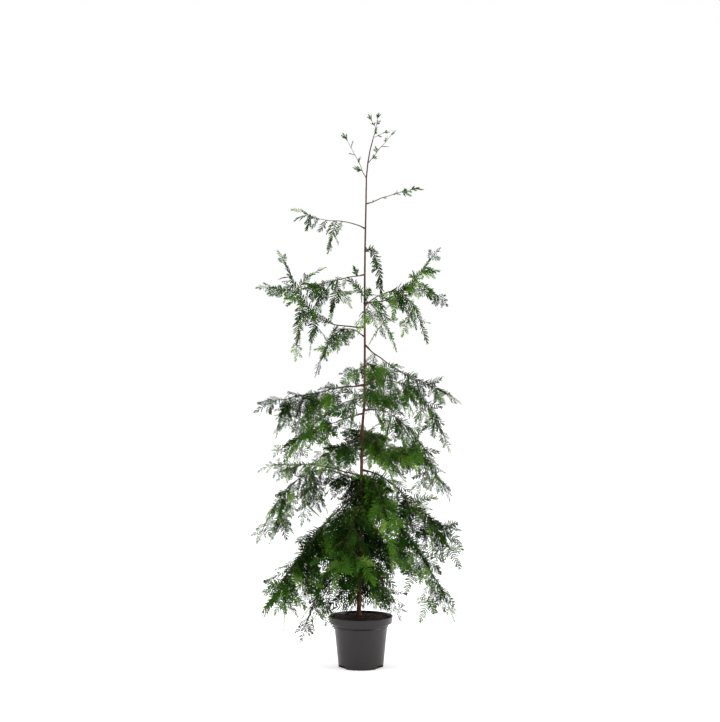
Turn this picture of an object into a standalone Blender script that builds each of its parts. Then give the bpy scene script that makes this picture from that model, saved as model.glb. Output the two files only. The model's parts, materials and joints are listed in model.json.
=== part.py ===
"""A young dawn redwood, about 1.8 m tall, in its round nursery pot.

The trunk, each main bough, each mass of foliage, the peat and the pot are separate solids.
Metres, +Z up. The origin is the centre of the pot's flat underside, and the tree is seen
from -Y, with +X to the right. Headings are in degrees from +X, turning towards +Y.
"""

import math
import random
from collections import namedtuple

import bmesh
import bpy
import numpy as np
from mathutils import Matrix, Vector

CLEARANCE = 0.0003

# Pot: a thrown-thin moulded shell with a deep rim, a collar under it and a tapering wall.
RIM_RADIUS = 0.1055
POT_HEIGHT = 0.167
RIM_DEPTH = 0.022
RIM_TAPER = 0.0035
COLLAR_RADIUS = 0.0905
COLLAR_DEPTH = 0.013
WALL_TOP_RADIUS = 0.0875
FOOT_RADIUS = 0.0735
LEDGE = 0.001
WALL = 0.0018
FLOOR = 0.0025
POT_STEPS = 32
NOTCH_COUNT = 3
NOTCH_ARC = 40
NOTCH_HEIGHT = 0.010
RIM_FOOT = POT_HEIGHT - RIM_DEPTH
COLLAR_FOOT = RIM_FOOT - COLLAR_DEPTH

# Peat, heaped a little towards the trunk, and its gap to the pot's wall.
PEAT_EDGE = 0.160
PEAT_CROWN = 0.166
PEAT_FLAT = 0.034
PEAT_SLOPE = (0.060, 0.162)
PEAT_GAP = WALL + CLEARANCE + 0.0005
PEAT_STEPS = 20

# Trunk: height, place of its axis in X and Y, and radius. It kinks twice, as in life.
GROUND = PEAT_CROWN + CLEARANCE
TRUNK = (
    (GROUND, -0.008, 0.018, 0.0125),
    (0.171, -0.008, 0.018, 0.0100),
    (0.182, -0.007, 0.017, 0.0080),
    (0.290, -0.003, 0.012, 0.0067),
    (0.460, 0.000, 0.006, 0.0061),
    (0.650, 0.002, 0.000, 0.0054),
    (0.780, 0.004, 0.000, 0.0048),
    (0.880, 0.012, 0.000, 0.0040),
    (1.060, 0.013, 0.002, 0.0036),
    (1.200, 0.012, 0.000, 0.0034),
    (1.370, 0.0135, 0.000, 0.0030),
    (1.540, 0.017, 0.000, 0.0026),
    (1.610, 0.018, 0.000, 0.0024),
    (1.660, 0.023, 0.000, 0.0022),
    (1.700, 0.030, 0.000, 0.0020),
    (1.738, 0.040, 0.000, 0.0018),
)
TRUNK_SIDES_RESOLUTION = 3

# Limbs and stems taper. A stem and a twig are three-sided, and slimmer where sprays are small.
LIMB_END_RADIUS = 0.0018
STEM_RADIUS = 0.0022
TWIG_RADIUS = 0.0018
TIP_SHARE = 0.6
SLIM_SHARE = 0.55
SLIM_BELOW = 0.06
LIMB_POINTS = 6
STEM_POINTS = 4
FORK_POINTS = 3

# The rule of growth: the angle by which a twig leaves its stem, how far its dip strays from
# the bough's droop, its size, how much shorter it is at the tip, and what its weight does.
FAN = (48, 66)
DIP_STRAY = 22
SIZE_RANGE = (0.85, 1.1)
THINNING = 0.25
FIRST_STATION = 0.6
DROOP_PULL = 0.004
LAST_ROOT = 0.04

# A twig is a share of its spray's size. It carries one spray near its end and one on its side,
# each given as its place on the twig and its share of the size.
TWIG_SHARE = 0.55
TWIGGY_SPRAY = 0.055
END_SPRAY = (0.92, 0.85)
SIDE_SPRAY = (0.50, 0.75)

# A spray is a blade with teeth on both sides: one, two or three of them, by its length. Its
# flat faces up and round about by these weights.
SPRAY_THICKNESS = 0.011
THINNEST = 0.0006
SPRAY_ASPECT = 0.58
FLAT_WEIGHTS = (0.6, 0.8)
MORE_TEETH = (0.030, 0.120)
STALK_HALF_WIDTH = 0.02
NOTCH_STEP = 0.05
NOTCH_SHARE = 0.25
FLAT_ANGLE = 0.002

# A spray that doesn't fit is tried shorter, then left out. What it keeps free round it grows
# with its length: from limbs and other masses' routes, other sprays, its sisters, the trunk.
SHORTER = (1.0, 0.8, 0.62)
SAMPLES_ALONG = 8
SAMPLES_ACROSS = 6
BASE_SPACE = 0.003
ROUTE_SPACE = 0.12
SPRAY_SPACE = 0.19
SISTER_SPACE = 0.11
TRUNK_SPACE = 0.14
LOWEST = 0.02
POT_SPACE = 0.009

Fork = namedtuple("Fork", "at turn reach rise bend", defaults=(1.0,))
Bough = namedtuple(
    "Bough",
    "name root heading reach rise arch bend limb girth spray droop pitch forks",
    defaults=(0.0, 1.0, 0.0, 0.0, 0.11, 35, 0.055, ()),
)

# One row for each bough or twig on the trunk. root is the height where it leaves the trunk;
# reach and rise are how far out and up its tip lies; arch lifts its middle; bend holds the
# rise back towards the tip. limb is the share of the route that is bare limb, as thick as
# girth at the trunk. spray is the length of its longest sprays, droop how far they hang,
# pitch their spacing, and forks are the twigs that carry more of them.
BOUGHS = (
    Bough("leader", 1.738, 10, 0.016, 0.066, spray=0.020, droop=0, pitch=0.026,
          forks=(Fork(0.04, -20, 0.034, 0.014), Fork(0.55, 170, 0.012, 0.024))),
    Bough("right_1", 1.658, -20, 0.080, 0.085, spray=0.026, droop=0, pitch=0.030),
    Bough("left_1", 1.609, 200, 0.066, 0.122, spray=0.028, droop=0, pitch=0.032),
    Bough("right_2", 1.523, 15, 0.168, 0.055, arch=0.005, limb=0.55, girth=0.0040,
          spray=0.030, droop=0, pitch=0.022),
    Bough("left_2", 1.441, 168, 0.212, 0.065, arch=0.028, bend=5, limb=0.30, girth=0.0042,
          spray=0.048, droop=50, pitch=0.032, forks=(Fork(0.46, 20, 0.018, -0.060),)),
    Bough("right_3", 1.363, 12, 0.056, -0.130, arch=0.020, bend=3, spray=0.042, droop=20,
          pitch=0.028),
    Bough("left_3", 1.291, 197, 0.210, -0.050, bend=1.2, limb=0.40, girth=0.0044,
          spray=0.065, droop=35, pitch=0.062,
          forks=(Fork(0.44, -50, 0.022, -0.095), Fork(0.68, 10, 0.020, -0.070))),
    Bough("left_4", 1.118, 186, 0.262, 0.205, bend=3.4, limb=0.50, girth=0.0054,
          spray=0.075, droop=20, pitch=0.064,
          forks=(Fork(0.84, -15, 0.080, 0.016), Fork(0.80, 10, 0.015, -0.150),
                 Fork(0.86, 165, 0.050, 0.045), Fork(0.62, 15, 0.015, -0.085))),
    Bough("left_5", 1.085, 205, 0.160, -0.080, arch=0.034, bend=3, limb=0.35, girth=0.0046,
          spray=0.075, droop=40, pitch=0.050),
    Bough("right_4", 1.197, -8, 0.214, 0.142, bend=2.4, limb=0.50, girth=0.0052,
          spray=0.065, droop=20, pitch=0.052, forks=(Fork(0.78, 25, 0.080, -0.055),)),
    Bough("right_5", 1.185, -36, 0.228, -0.068, arch=0.046, bend=7, limb=0.50, girth=0.0044,
          spray=0.085, droop=45, pitch=0.064),
    Bough("front_1", 1.215, 262, 0.150, 0.030, spray=0.080, droop=20, pitch=0.064),
    Bough("right_6", 1.205, 304, 0.155, -0.120, bend=1.6, spray=0.080, droop=35,
          pitch=0.064),
    Bough("right_7", 1.060, -14, 0.262, -0.150, arch=-0.014, bend=0.9, limb=0.40,
          girth=0.0050, spray=0.090, droop=35, pitch=0.064),
    Bough("front_2", 1.010, 286, 0.170, -0.080, spray=0.085, droop=30, pitch=0.064),
    Bough("back_1", 1.000, 70, 0.220, -0.030, spray=0.100, droop=30, pitch=0.064),
    Bough("left_6", 0.928, 174, 0.296, -0.054, bend=1.2, limb=0.42,
          girth=0.0060, spray=0.110, droop=50, pitch=0.060,
          forks=(Fork(0.60, 15, 0.030, -0.100), Fork(0.90, -12, 0.022, -0.085))),
    Bough("left_7", 0.885, 208, 0.235, -0.130, bend=1.8, spray=0.110, droop=45,
          pitch=0.064),
    Bough("left_8", 0.833, 158, 0.280, -0.110, bend=1.3, limb=0.40, girth=0.0052,
          spray=0.120, droop=35, pitch=0.064),
    Bough("back_2", 0.915, 62, 0.220, -0.040, spray=0.110, droop=30, pitch=0.064),
    Bough("right_8", 0.925, -12, 0.258, -0.150, arch=0.026, bend=2.8, limb=0.40, girth=0.0054,
          spray=0.110, droop=40, pitch=0.064),
    Bough("right_9", 0.842, -38, 0.250, -0.125, arch=0.012, bend=2.2, limb=0.40, girth=0.0052,
          spray=0.110, droop=40, pitch=0.064),
    Bough("left_9", 0.756, 222, 0.175, -0.055, spray=0.110, droop=30, pitch=0.064),
    Bough("right_10", 0.751, 302, 0.180, -0.110, arch=0.015, bend=2, spray=0.105, droop=30,
          pitch=0.064),
    Bough("back_3", 0.760, 84, 0.230, 0.000, spray=0.120, droop=30, pitch=0.064),
    Bough("left_10", 0.625, 160, 0.315, 0.030, arch=0.018, limb=0.58, girth=0.0058,
          spray=0.085, droop=30, pitch=0.064),
    Bough("left_11", 0.600, 182, 0.314, -0.125, arch=0.054, bend=3.4, limb=0.45,
          girth=0.0062, spray=0.105, droop=45, pitch=0.064,
          forks=(Fork(0.80, 5, 0.034, -0.105, 0.7), Fork(0.50, -12, 0.030, -0.110))),
    Bough("right_11", 0.690, 28, 0.300, -0.090, arch=0.030, bend=4, limb=0.45,
          girth=0.0054, spray=0.110, droop=30, pitch=0.064),
    Bough("right_12", 0.647, -4, 0.284, -0.245, bend=1.6, limb=0.45, girth=0.0064,
          spray=0.120, droop=35, pitch=0.064,
          forks=(Fork(0.75, 22, 0.056, -0.030), Fork(0.50, -20, 0.030, -0.100))),
    Bough("front_3", 0.614, 293, 0.205, -0.110, arch=0.030, bend=2, limb=0.35,
          girth=0.0054, spray=0.135, droop=45, pitch=0.052),
    Bough("left_12", 0.574, 214, 0.300, -0.265, bend=1.3, limb=0.45, girth=0.0064,
          spray=0.125, droop=40, pitch=0.064,
          forks=(Fork(0.66, 30, 0.030, -0.130), Fork(0.95, 25, 0.012, -0.085))),
    Bough("front_4", 0.555, 253, 0.240, -0.180, limb=0.35, girth=0.0058, spray=0.140,
          droop=35, pitch=0.052),
    Bough("right_13", 0.550, -25, 0.300, -0.310, bend=1.8, limb=0.42, girth=0.0064,
          spray=0.125, droop=35, pitch=0.064),
    Bough("back_4", 0.500, 116, 0.280, -0.140, spray=0.140, droop=30, pitch=0.072),
    Bough("back_5", 0.450, 52, 0.250, -0.130, spray=0.140, droop=30, pitch=0.064),
    Bough("left_13", 0.390, 200, 0.180, -0.220, bend=2.2, spray=0.120, droop=20,
          pitch=0.064),
    Bough("right_14", 0.340, 314, 0.140, -0.100, bend=1.8, spray=0.105, droop=10,
          pitch=0.064),
)

BARK_COLOUR = (0.20, 0.075, 0.035)
TWIG_COLOUR = (0.055, 0.035, 0.018)
FOLIAGE_COLOUR = (0.035, 0.12, 0.02)
PEAT_COLOUR = (0.018, 0.010, 0.006)
POT_COLOUR = (0.055, 0.050, 0.053)


def material(name, colour, roughness):
    shader = bpy.data.materials.new(name)
    shader.use_nodes = True
    principled = shader.node_tree.nodes["Principled BSDF"]
    principled.inputs["Base Color"].default_value = (*colour, 1)
    principled.inputs["Roughness"].default_value = roughness
    return shader


def collection(name):
    group = bpy.data.collections.new(name)
    bpy.context.scene.collection.children.link(group)
    return group


def placed(name, data, group, shader=None):
    """An object of this data, in the group."""
    thing = bpy.data.objects.new(name, data)
    group.objects.link(thing)
    if shader:
        data.materials.append(shader)
    return thing


def as_guide(thing):
    thing.hide_render = True
    thing.display_type = "WIRE"
    return thing


def mesh_of(curve_object):
    """The curve's mesh with its caps welded. The curve is removed."""
    bpy.context.view_layer.update()
    graph = bpy.context.evaluated_depsgraph_get()
    data = bpy.data.meshes.new_from_object(curve_object.evaluated_get(graph))
    shape = bmesh.new()
    shape.from_mesh(data)
    bmesh.ops.remove_doubles(shape, verts=shape.verts, dist=0.00001)
    bmesh.ops.recalc_face_normals(shape, faces=shape.faces)
    shape.to_mesh(data)
    shape.free()
    data.transform(curve_object.matrix_world)
    bpy.data.objects.remove(curve_object)
    return data


def tube(name, points, radii, group, shader=None, resolution=1, profile=None):
    """A tapering limb along the points: six-sided, or of the profile's own section."""
    curve = bpy.data.curves.new(name, "CURVE")
    curve.dimensions = "3D"
    if profile:
        curve.bevel_mode = "OBJECT"
        curve.bevel_object = profile
    else:
        curve.bevel_depth = 1
        curve.bevel_resolution = resolution
    curve.use_fill_caps = True
    spline = curve.splines.new("POLY")
    spline.points.add(len(points) - 1)
    for knot, point, radius in zip(spline.points, points, radii):
        knot.co = (*point, 1)
        knot.radius = radius
    return placed(name, curve, group, shader)


def outline(name, points, half_thickness, group, cyclic=True):
    """A closed flat outline: a thin blade, or a bare profile where the thickness is 0."""
    curve = bpy.data.curves.new(name, "CURVE")
    curve.dimensions = "2D"
    curve.fill_mode = "BOTH" if half_thickness else "NONE"
    curve.extrude = half_thickness
    spline = curve.splines.new("POLY")
    spline.points.add(len(points) - 1)
    for knot, (x, y) in zip(spline.points, points):
        knot.co = (x, y, 0, 1)
    spline.use_cyclic_u = cyclic
    return placed(name, curve, group)


def turned(name, profile, steps, group, shader):
    """A solid of revolution about Z from (radius, height) pairs, outer side first."""
    data = bpy.data.meshes.new(name)
    edges = [(i, i + 1) for i in range(len(profile) - 1)]
    data.from_pydata([(radius, 0, height) for radius, height in profile], edges, [])
    thing = placed(name, data, group, shader)
    screw = thing.modifiers.new("turn", "SCREW")
    screw.steps = steps
    screw.render_steps = steps
    screw.use_merge_vertices = True
    screw.merge_threshold = 0.00001
    return thing


def make_pot(group, cutters):
    """Deep rim, collar with its ridge, tapering wall, and drain notches in the foot."""
    profile = (
        (0, FLOOR),
        (FOOT_RADIUS - WALL, FLOOR),
        (WALL_TOP_RADIUS - WALL, COLLAR_FOOT),
        (COLLAR_RADIUS - WALL, RIM_FOOT + WALL),
        (RIM_RADIUS - RIM_TAPER - WALL, RIM_FOOT + WALL + LEDGE),
        (RIM_RADIUS - WALL - LEDGE, POT_HEIGHT),
        (RIM_RADIUS, POT_HEIGHT),
        (RIM_RADIUS - RIM_TAPER, RIM_FOOT),
        (COLLAR_RADIUS, RIM_FOOT - LEDGE),
        (COLLAR_RADIUS - LEDGE, COLLAR_FOOT + LEDGE),
        (WALL_TOP_RADIUS, COLLAR_FOOT - LEDGE),
        (FOOT_RADIUS, 0),
        (0, 0),
    )
    pot = turned("pot", profile, POT_STEPS, group, material("pot_plastic", POT_COLOUR, 0.45))
    half_arc = math.radians(NOTCH_ARC / 2)
    inner = FOOT_RADIUS * math.cos(half_arc) - 2 * WALL
    outer = FOOT_RADIUS + 2 * WALL
    size = (outer - inner, 2 * FOOT_RADIUS * math.sin(half_arc), 2 * NOTCH_HEIGHT)
    for number in range(NOTCH_COUNT):
        angle = math.radians(90 + 360 / NOTCH_COUNT * number)
        shape = bmesh.new()
        bmesh.ops.create_cube(shape, size=1)
        data = bpy.data.meshes.new(f"notch_{number + 1}")
        shape.to_mesh(data)
        shape.free()
        data.transform(Matrix.Diagonal((*size, 1)))
        notch = as_guide(placed(data.name, data, cutters))
        middle = (inner + outer) / 2
        notch.location = (middle * math.cos(angle), middle * math.sin(angle), 0)
        notch.rotation_euler.z = angle
        cut = pot.modifiers.new(notch.name, "BOOLEAN")
        cut.object = notch
    return pot


def make_peat(group):
    """The root ball's peat, filling the pot to just under its rim."""
    bottom = FLOOR + CLEARANCE
    profile = (
        (0, PEAT_CROWN),
        (PEAT_FLAT, PEAT_CROWN),
        PEAT_SLOPE,
        (RIM_RADIUS - RIM_TAPER / 2 - PEAT_GAP, PEAT_EDGE),
        (RIM_RADIUS - RIM_TAPER - LEDGE - PEAT_GAP, RIM_FOOT + WALL + 2 * LEDGE),
        (COLLAR_RADIUS - LEDGE - PEAT_GAP, RIM_FOOT + WALL + LEDGE),
        (WALL_TOP_RADIUS - PEAT_GAP, COLLAR_FOOT),
        (FOOT_RADIUS - PEAT_GAP, bottom),
        (0, bottom),
    )
    return turned("peat", profile, PEAT_STEPS, group, material("peat", PEAT_COLOUR, 0.95))


def trunk_at(height):
    """The place of the trunk's axis and its radius at this height."""
    levels = [row[0] for row in TRUNK]
    x, y, radius = (np.interp(height, levels, [row[i] for row in TRUNK]) for i in (1, 2, 3))
    return Vector((x, y, height)), float(radius)


def bough_route(bough, share):
    """A point of the bough's route, from the trunk's axis at share 0 to the tip at 1."""
    start, _ = trunk_at(bough.root)
    angle = math.radians(bough.heading)
    out = Vector((math.cos(angle), math.sin(angle), 0)) * bough.reach * share
    lift = bough.rise * share**bough.bend + bough.arch * 4 * share * (1 - share)
    return start + out + Vector((0, 0, lift))


def fork_route(bough, fork, share):
    """A point of a fork's route, from the bough's route to the fork's tip."""
    angle = math.radians(bough.heading + fork.turn)
    out = Vector((math.cos(angle), math.sin(angle), 0)) * fork.reach * share
    return bough_route(bough, fork.at) + out + Vector((0, 0, fork.rise * share**fork.bend))


def root_share(bough, radius):
    """The share of the route at which a limb of this radius just clears the trunk."""
    if bough.root == TRUNK[-1][0]:
        return 2 * CLEARANCE / Vector((bough.reach, 0, bough.rise)).length
    start, trunk_radius = trunk_at(bough.root)
    ahead = (bough_route(bough, 0.06) - start).normalized()
    need = trunk_radius + CLEARANCE + radius * abs(ahead.z)
    return need / bough.reach


def stretch(route, first, last, count):
    return [route(first + (last - first) * i / (count - 1)) for i in range(count)]


def limb_points(bough):
    """Points and radii of the bare limb."""
    first = root_share(bough, bough.girth / 2)
    points = stretch(lambda share: bough_route(bough, share), first, bough.limb, LIMB_POINTS)
    radii = np.linspace(bough.girth / 2, LIMB_END_RADIUS, LIMB_POINTS)
    return points, radii


def stems_of(bough):
    """The mass's main stem and its forks, as lists of points."""
    if bough.limb:
        shares = (bough.limb * 0.85, bough.limb, bough.limb * 1.3)
        before, here, after = (bough_route(bough, share) for share in shares)
        gap = CLEARANCE + STEM_RADIUS * math.sin((here - before).angle(after - here))
        first = bough.limb + gap / (after - here).length * (shares[2] - shares[1])
    else:
        first = root_share(bough, STEM_RADIUS)
    stems = [stretch(lambda share: bough_route(bough, share), first, 1, STEM_POINTS)]
    for fork in bough.forks:
        stems.append(stretch(lambda share: fork_route(bough, fork, share), 0, 1, FORK_POINTS))
    return stems


def spaces():
    """Every route as short straight pieces: their ends, whose they are, and which are bare."""
    starts, ends, owners, bare = [], [], [], []
    for number, bough in enumerate(BOUGHS):
        split = max(bough.limb, 0.02)
        lines = [stretch(lambda share: bough_route(bough, share), 0, split, 5)]
        lines.append(stretch(lambda share: bough_route(bough, share), split, 1, 6))
        for fork in bough.forks:
            lines.append(stretch(lambda share: fork_route(bough, fork, share), 0, 1, 4))
        for line in lines:
            for start, end in zip(line, line[1:]):
                starts.append(start)
                ends.append(end)
                owners.append(number)
                bare.append(line is lines[0] and bough.limb > 0)
    return np.array(starts), np.array(ends), np.array(owners), np.array(bare)


def distances(points, starts, ends):
    """How far each point lies from each straight piece."""
    along = ends - starts
    steps = ((points[:, None] - starts) * along).sum(2) / (along * along).sum(1)
    nearest = starts + along * np.clip(steps, 0, 1)[:, :, None]
    return np.linalg.norm(points[:, None] - nearest, axis=2)


def fits(points, length, number, space, taken):
    """Whether a spray keeps clear of other masses, of bare limbs, trunk, pot and floor."""
    starts, ends, owners, bare = space
    others = (owners != number) | bare
    free = BASE_SPACE + ROUTE_SPACE * length
    if (distances(points, starts[others], ends[others]) < free).any():
        return False
    axis = np.array([row[1:3] + row[:1] for row in TRUNK])
    free = BASE_SPACE + TRUNK_SPACE * length + trunk_at(points[:, 2].mean())[1]
    if (distances(points, axis[:-1], axis[1:]) < free).any():
        return False
    over_pot = np.hypot(points[:, 0], points[:, 1]) < RIM_RADIUS + POT_SPACE
    lowest = np.where(over_pot, POT_HEIGHT + POT_SPACE, LOWEST)
    if (points[:, 2] < lowest).any():
        return False
    middle = points.mean(0)
    for owner, centre, reach, theirs in taken:
        if np.linalg.norm(centre - middle) > reach + length * 1.2:
            continue
        # Sisters grow from one stem, so their first rows of points may lie together.
        first = SAMPLES_ACROSS * 2 if owner == number else 0
        share = SISTER_SPACE if owner == number else SPRAY_SPACE
        gaps = np.linalg.norm(points[first:, None] - theirs[first:], axis=2)
        if (gaps < BASE_SPACE + share * length).any():
            return False
    return True


def turned_off(ahead, fan, dip, side):
    """A direction that leaves the stem by the fan angle, to one side, dipping under it."""
    sideways = ahead.cross(Vector((0, 0, 1))).normalized()
    upright = sideways.cross(ahead)
    off = sideways * side * math.cos(dip) - upright * math.sin(dip)
    return (ahead * math.cos(fan) + off * math.sin(fan)).normalized()


def spray_samples(root, ahead, flat, length):
    """Points spread over a spray."""
    across = flat.cross(ahead)
    half = length * SPRAY_ASPECT / 2
    return np.array([
        root + ahead * length * along + across * half * off * (1 - 0.35 * along)
        for along in np.linspace(0.15, 1, SAMPLES_ALONG)
        for off in np.linspace(-1, 1, SAMPLES_ACROSS)
    ])


def spray_course(course, droop):
    """The direction with the spray's own weight on it."""
    return (course + Vector((0, 0, -DROOP_PULL * droop))).normalized()


def spray_side(course, turn):
    """The direction that the flat of a spray faces, mostly upwards and turned at random."""
    up, around = FLAT_WEIGHTS
    flat = Vector((around * math.cos(turn), around * math.sin(turn), up))
    return (flat - course * flat.dot(course)).normalized()


def growth_of(number, space, taken):
    """The seeded rule: the mass's twigs, and each spray's root, direction, flat side, length."""
    bough = BOUGHS[number]
    dice = random.Random(100 + number)
    twigs, sprays = [], []

    def grow(start, ahead, turn, size):
        """Adds the longest spray that fits here, if any does."""
        course = spray_course(ahead, bough.droop)
        flat = spray_side(course, turn)
        for length in (size * share for share in SHORTER):
            points = spray_samples(start, course, flat, length)
            if fits(points, length, number, space, taken):
                taken.append((number, points.mean(0), length, points))
                sprays.append((start, course, flat, length))
                return

    for stem in stems_of(bough):
        length = sum((b - a).length for a, b in zip(stem, stem[1:]))
        count = max(1, round(length / bough.pitch))
        for i in range(count + 1):
            place = (i + FIRST_STATION) / (count + FIRST_STATION) * (len(stem) - 1)
            step = min(int(place), len(stem) - 2)
            start = stem[step].lerp(stem[step + 1], min(place - step, 1))
            ahead = (stem[step + 1] - stem[step]).normalized()
            side = -1 if (i + number) % 2 else 1
            fan = math.radians(dice.uniform(*FAN))
            dip = math.radians(bough.droop + dice.uniform(-DIP_STRAY, DIP_STRAY))
            turns = [math.radians(dice.uniform(0, 360)) for _ in range(2)]
            size = bough.spray * dice.uniform(*SIZE_RANGE) * (1 - THINNING * i / count)
            if i == count:
                grow(stem[-1].lerp(stem[-2], LAST_ROOT), ahead, turns[0], size)
                continue
            off = turned_off(ahead, fan, dip, side)
            if i % 2 or bough.spray < TWIGGY_SPRAY:
                grow(start, off, turns[0], size)
                continue
            reach = size * TWIG_SHARE
            before = len(sprays)
            at, share = END_SPRAY
            grow(start + off * reach * at, off, turns[0], size * share)
            at, share = SIDE_SPRAY
            grow(start + off * reach * at, turned_off(off, fan, dip, -side), turns[1], size * share)
            if len(sprays) > before:
                twigs.append((start, off, reach))
    return twigs, sprays


def unit_blade(teeth, group):
    """A toothed blade of length and width 1, from its stalk at the origin along +X."""
    side = [(0.0, STALK_HALF_WIDTH)]
    for number in range(teeth):
        along = (number + 0.62) / (teeth + 0.42)
        wide = 0.5 * math.sqrt(1.05 - along)
        side.append((along, wide))
        if number < teeth - 1:
            side.append((along + NOTCH_STEP, wide * NOTCH_SHARE))
    points = side + [(1.0, 0.0)] + [(x, -y) for x, y in reversed(side)]
    return mesh_of(outline("blade", points, 0.5, group))


def frame_of(course, flat, origin):
    """A matrix that lays X along the course and Z along the flat side."""
    across = flat.cross(course)
    turn = Matrix((course, across, flat)).transposed().to_4x4()
    return Matrix.Translation(origin) @ turn


def make_twig(start, course, length, radius, group):
    """A three-sided twig that tapers to its spray."""
    shape = bmesh.new()
    bmesh.ops.create_cone(
        shape, cap_ends=True, segments=3, depth=length, radius1=radius, radius2=radius * TIP_SHARE,
        matrix=Matrix.Translation((length / 2, 0, 0)) @ Matrix.Rotation(math.pi / 2, 4, "Y"),
    )
    data = bpy.data.meshes.new("twig")
    shape.to_mesh(data)
    shape.free()
    data.transform(frame_of(course, spray_side(course, 0), start))
    return placed("twig", data, group)


def keep_largest(data):
    """Drops loose scraps and the shells of sealed hollows."""
    shape = bmesh.new()
    shape.from_mesh(data)
    shells, seen = [], set()
    for face in shape.faces:
        if face in seen:
            continue
        shell, front = [], [face]
        seen.add(face)
        while front:
            here = front.pop()
            shell.append(here)
            for edge in here.edges:
                for other in edge.link_faces:
                    if other not in seen:
                        seen.add(other)
                        front.append(other)
        shells.append(shell)
    shells.sort(key=lambda shell: sum(face.calc_area() for face in shell))
    for shell in shells[:-1]:
        bmesh.ops.delete(shape, geom=shell, context="FACES")
    bmesh.ops.dissolve_limit(
        shape, angle_limit=FLAT_ANGLE, verts=shape.verts, edges=shape.edges
    )
    shape.to_mesh(data)
    shape.free()


def seat_on_trunk(data, stem):
    """Slides the root end of a stem's mesh along the stem until it just clears the trunk."""
    ahead = (stem[1] - stem[0]).normalized()
    ends = [v for v in data.vertices if abs((v.co - stem[0]).dot(ahead)) < 0.00001]
    axis, radius = trunk_at(stem[0].z)
    around = [a.co.lerp(b.co, 0.5) for a in ends for b in ends]
    gap = min((point.xy - axis.xy).length for point in around) - radius
    shift = ahead * (gap - CLEARANCE) / ahead.xy.length
    for end in ends:
        end.co -= shift


def make_mass(number, space, taken, blades, triangle, group, shader):
    """A mass of foliage: its stems, twigs and sprays joined into one solid."""
    bough = BOUGHS[number]
    loose = collection("loose_" + bough.name)
    parts = []
    slim = SLIM_SHARE + (1 - SLIM_SHARE) * min(1, bough.spray / SLIM_BELOW)
    for stem in stems_of(bough):
        radii = np.linspace(STEM_RADIUS * slim, STEM_RADIUS * slim * TIP_SHARE, len(stem))
        data = mesh_of(tube("stem", stem, radii, loose, profile=triangle))
        if not parts and not bough.limb and bough.root < TRUNK[-1][0]:
            seat_on_trunk(data, stem)
        parts.append(placed("stem", data, loose))
    twigs, sprays = growth_of(number, space, taken)
    for start, course, reach in twigs:
        parts.append(make_twig(start, course, reach, TWIG_RADIUS * slim, loose))
    for start, course, flat, length in sprays:
        blade = blades[sum(length > longer for longer in MORE_TEETH)].copy()
        thick = max(SPRAY_THICKNESS * length, THINNEST)
        blade.transform(
            frame_of(course, flat, start)
            @ Matrix.Diagonal((length, length * SPRAY_ASPECT, thick, 1))
        )
        parts.append(placed("blade", blade, loose))
    mass = parts.pop(0)
    loose.objects.unlink(mass)
    group.objects.link(mass)
    mass.name = "foliage_" + bough.name
    join = mass.modifiers.new("join", "BOOLEAN")
    join.operation = "UNION"
    join.operand_type = "COLLECTION"
    join.collection = loose
    bpy.context.view_layer.update()
    graph = bpy.context.evaluated_depsgraph_get()
    data = bpy.data.meshes.new_from_object(mass.evaluated_get(graph))
    mass.modifiers.clear()
    keep_largest(data)
    mass.data = data
    data.materials.clear()
    data.materials.append(shader)
    for part in parts:
        bpy.data.objects.remove(part)
    bpy.data.collections.remove(loose)
    return mass


def main():
    for thing in list(bpy.data.objects):
        bpy.data.objects.remove(thing)
    tree = collection("dawn_redwood")
    guides = collection("guides")
    make_pot(tree, guides)
    make_peat(tree)
    bark = material("bark", BARK_COLOUR, 0.85)
    trunk_points = [Vector((x, y, height)) for height, x, y, _ in TRUNK]
    trunk_radii = [row[3] for row in TRUNK]
    tube("trunk", trunk_points, trunk_radii, tree, bark, TRUNK_SIDES_RESOLUTION)
    twig_bark = material("young_bark", TWIG_COLOUR, 0.8)
    for bough in BOUGHS:
        if bough.limb:
            points, radii = limb_points(bough)
            tube("bough_" + bough.name, points, radii, tree, twig_bark)
    angles = [math.tau * side / 3 for side in range(3)]
    corners = [(math.cos(angle), math.sin(angle)) for angle in angles]
    triangle = as_guide(outline("triangle", corners, 0, guides))
    blades = [unit_blade(teeth, guides) for teeth in (1, 2, 3)]
    green = material("needles", FOLIAGE_COLOUR, 0.6)
    space, taken = spaces(), []
    for number in range(len(BOUGHS)):
        make_mass(number, space, taken, blades, triangle, tree, green)


main()
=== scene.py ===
import json
import math
import random
from collections import namedtuple

import bmesh
import bpy
import numpy as np
from mathutils import Matrix, Vector, noise

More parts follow.
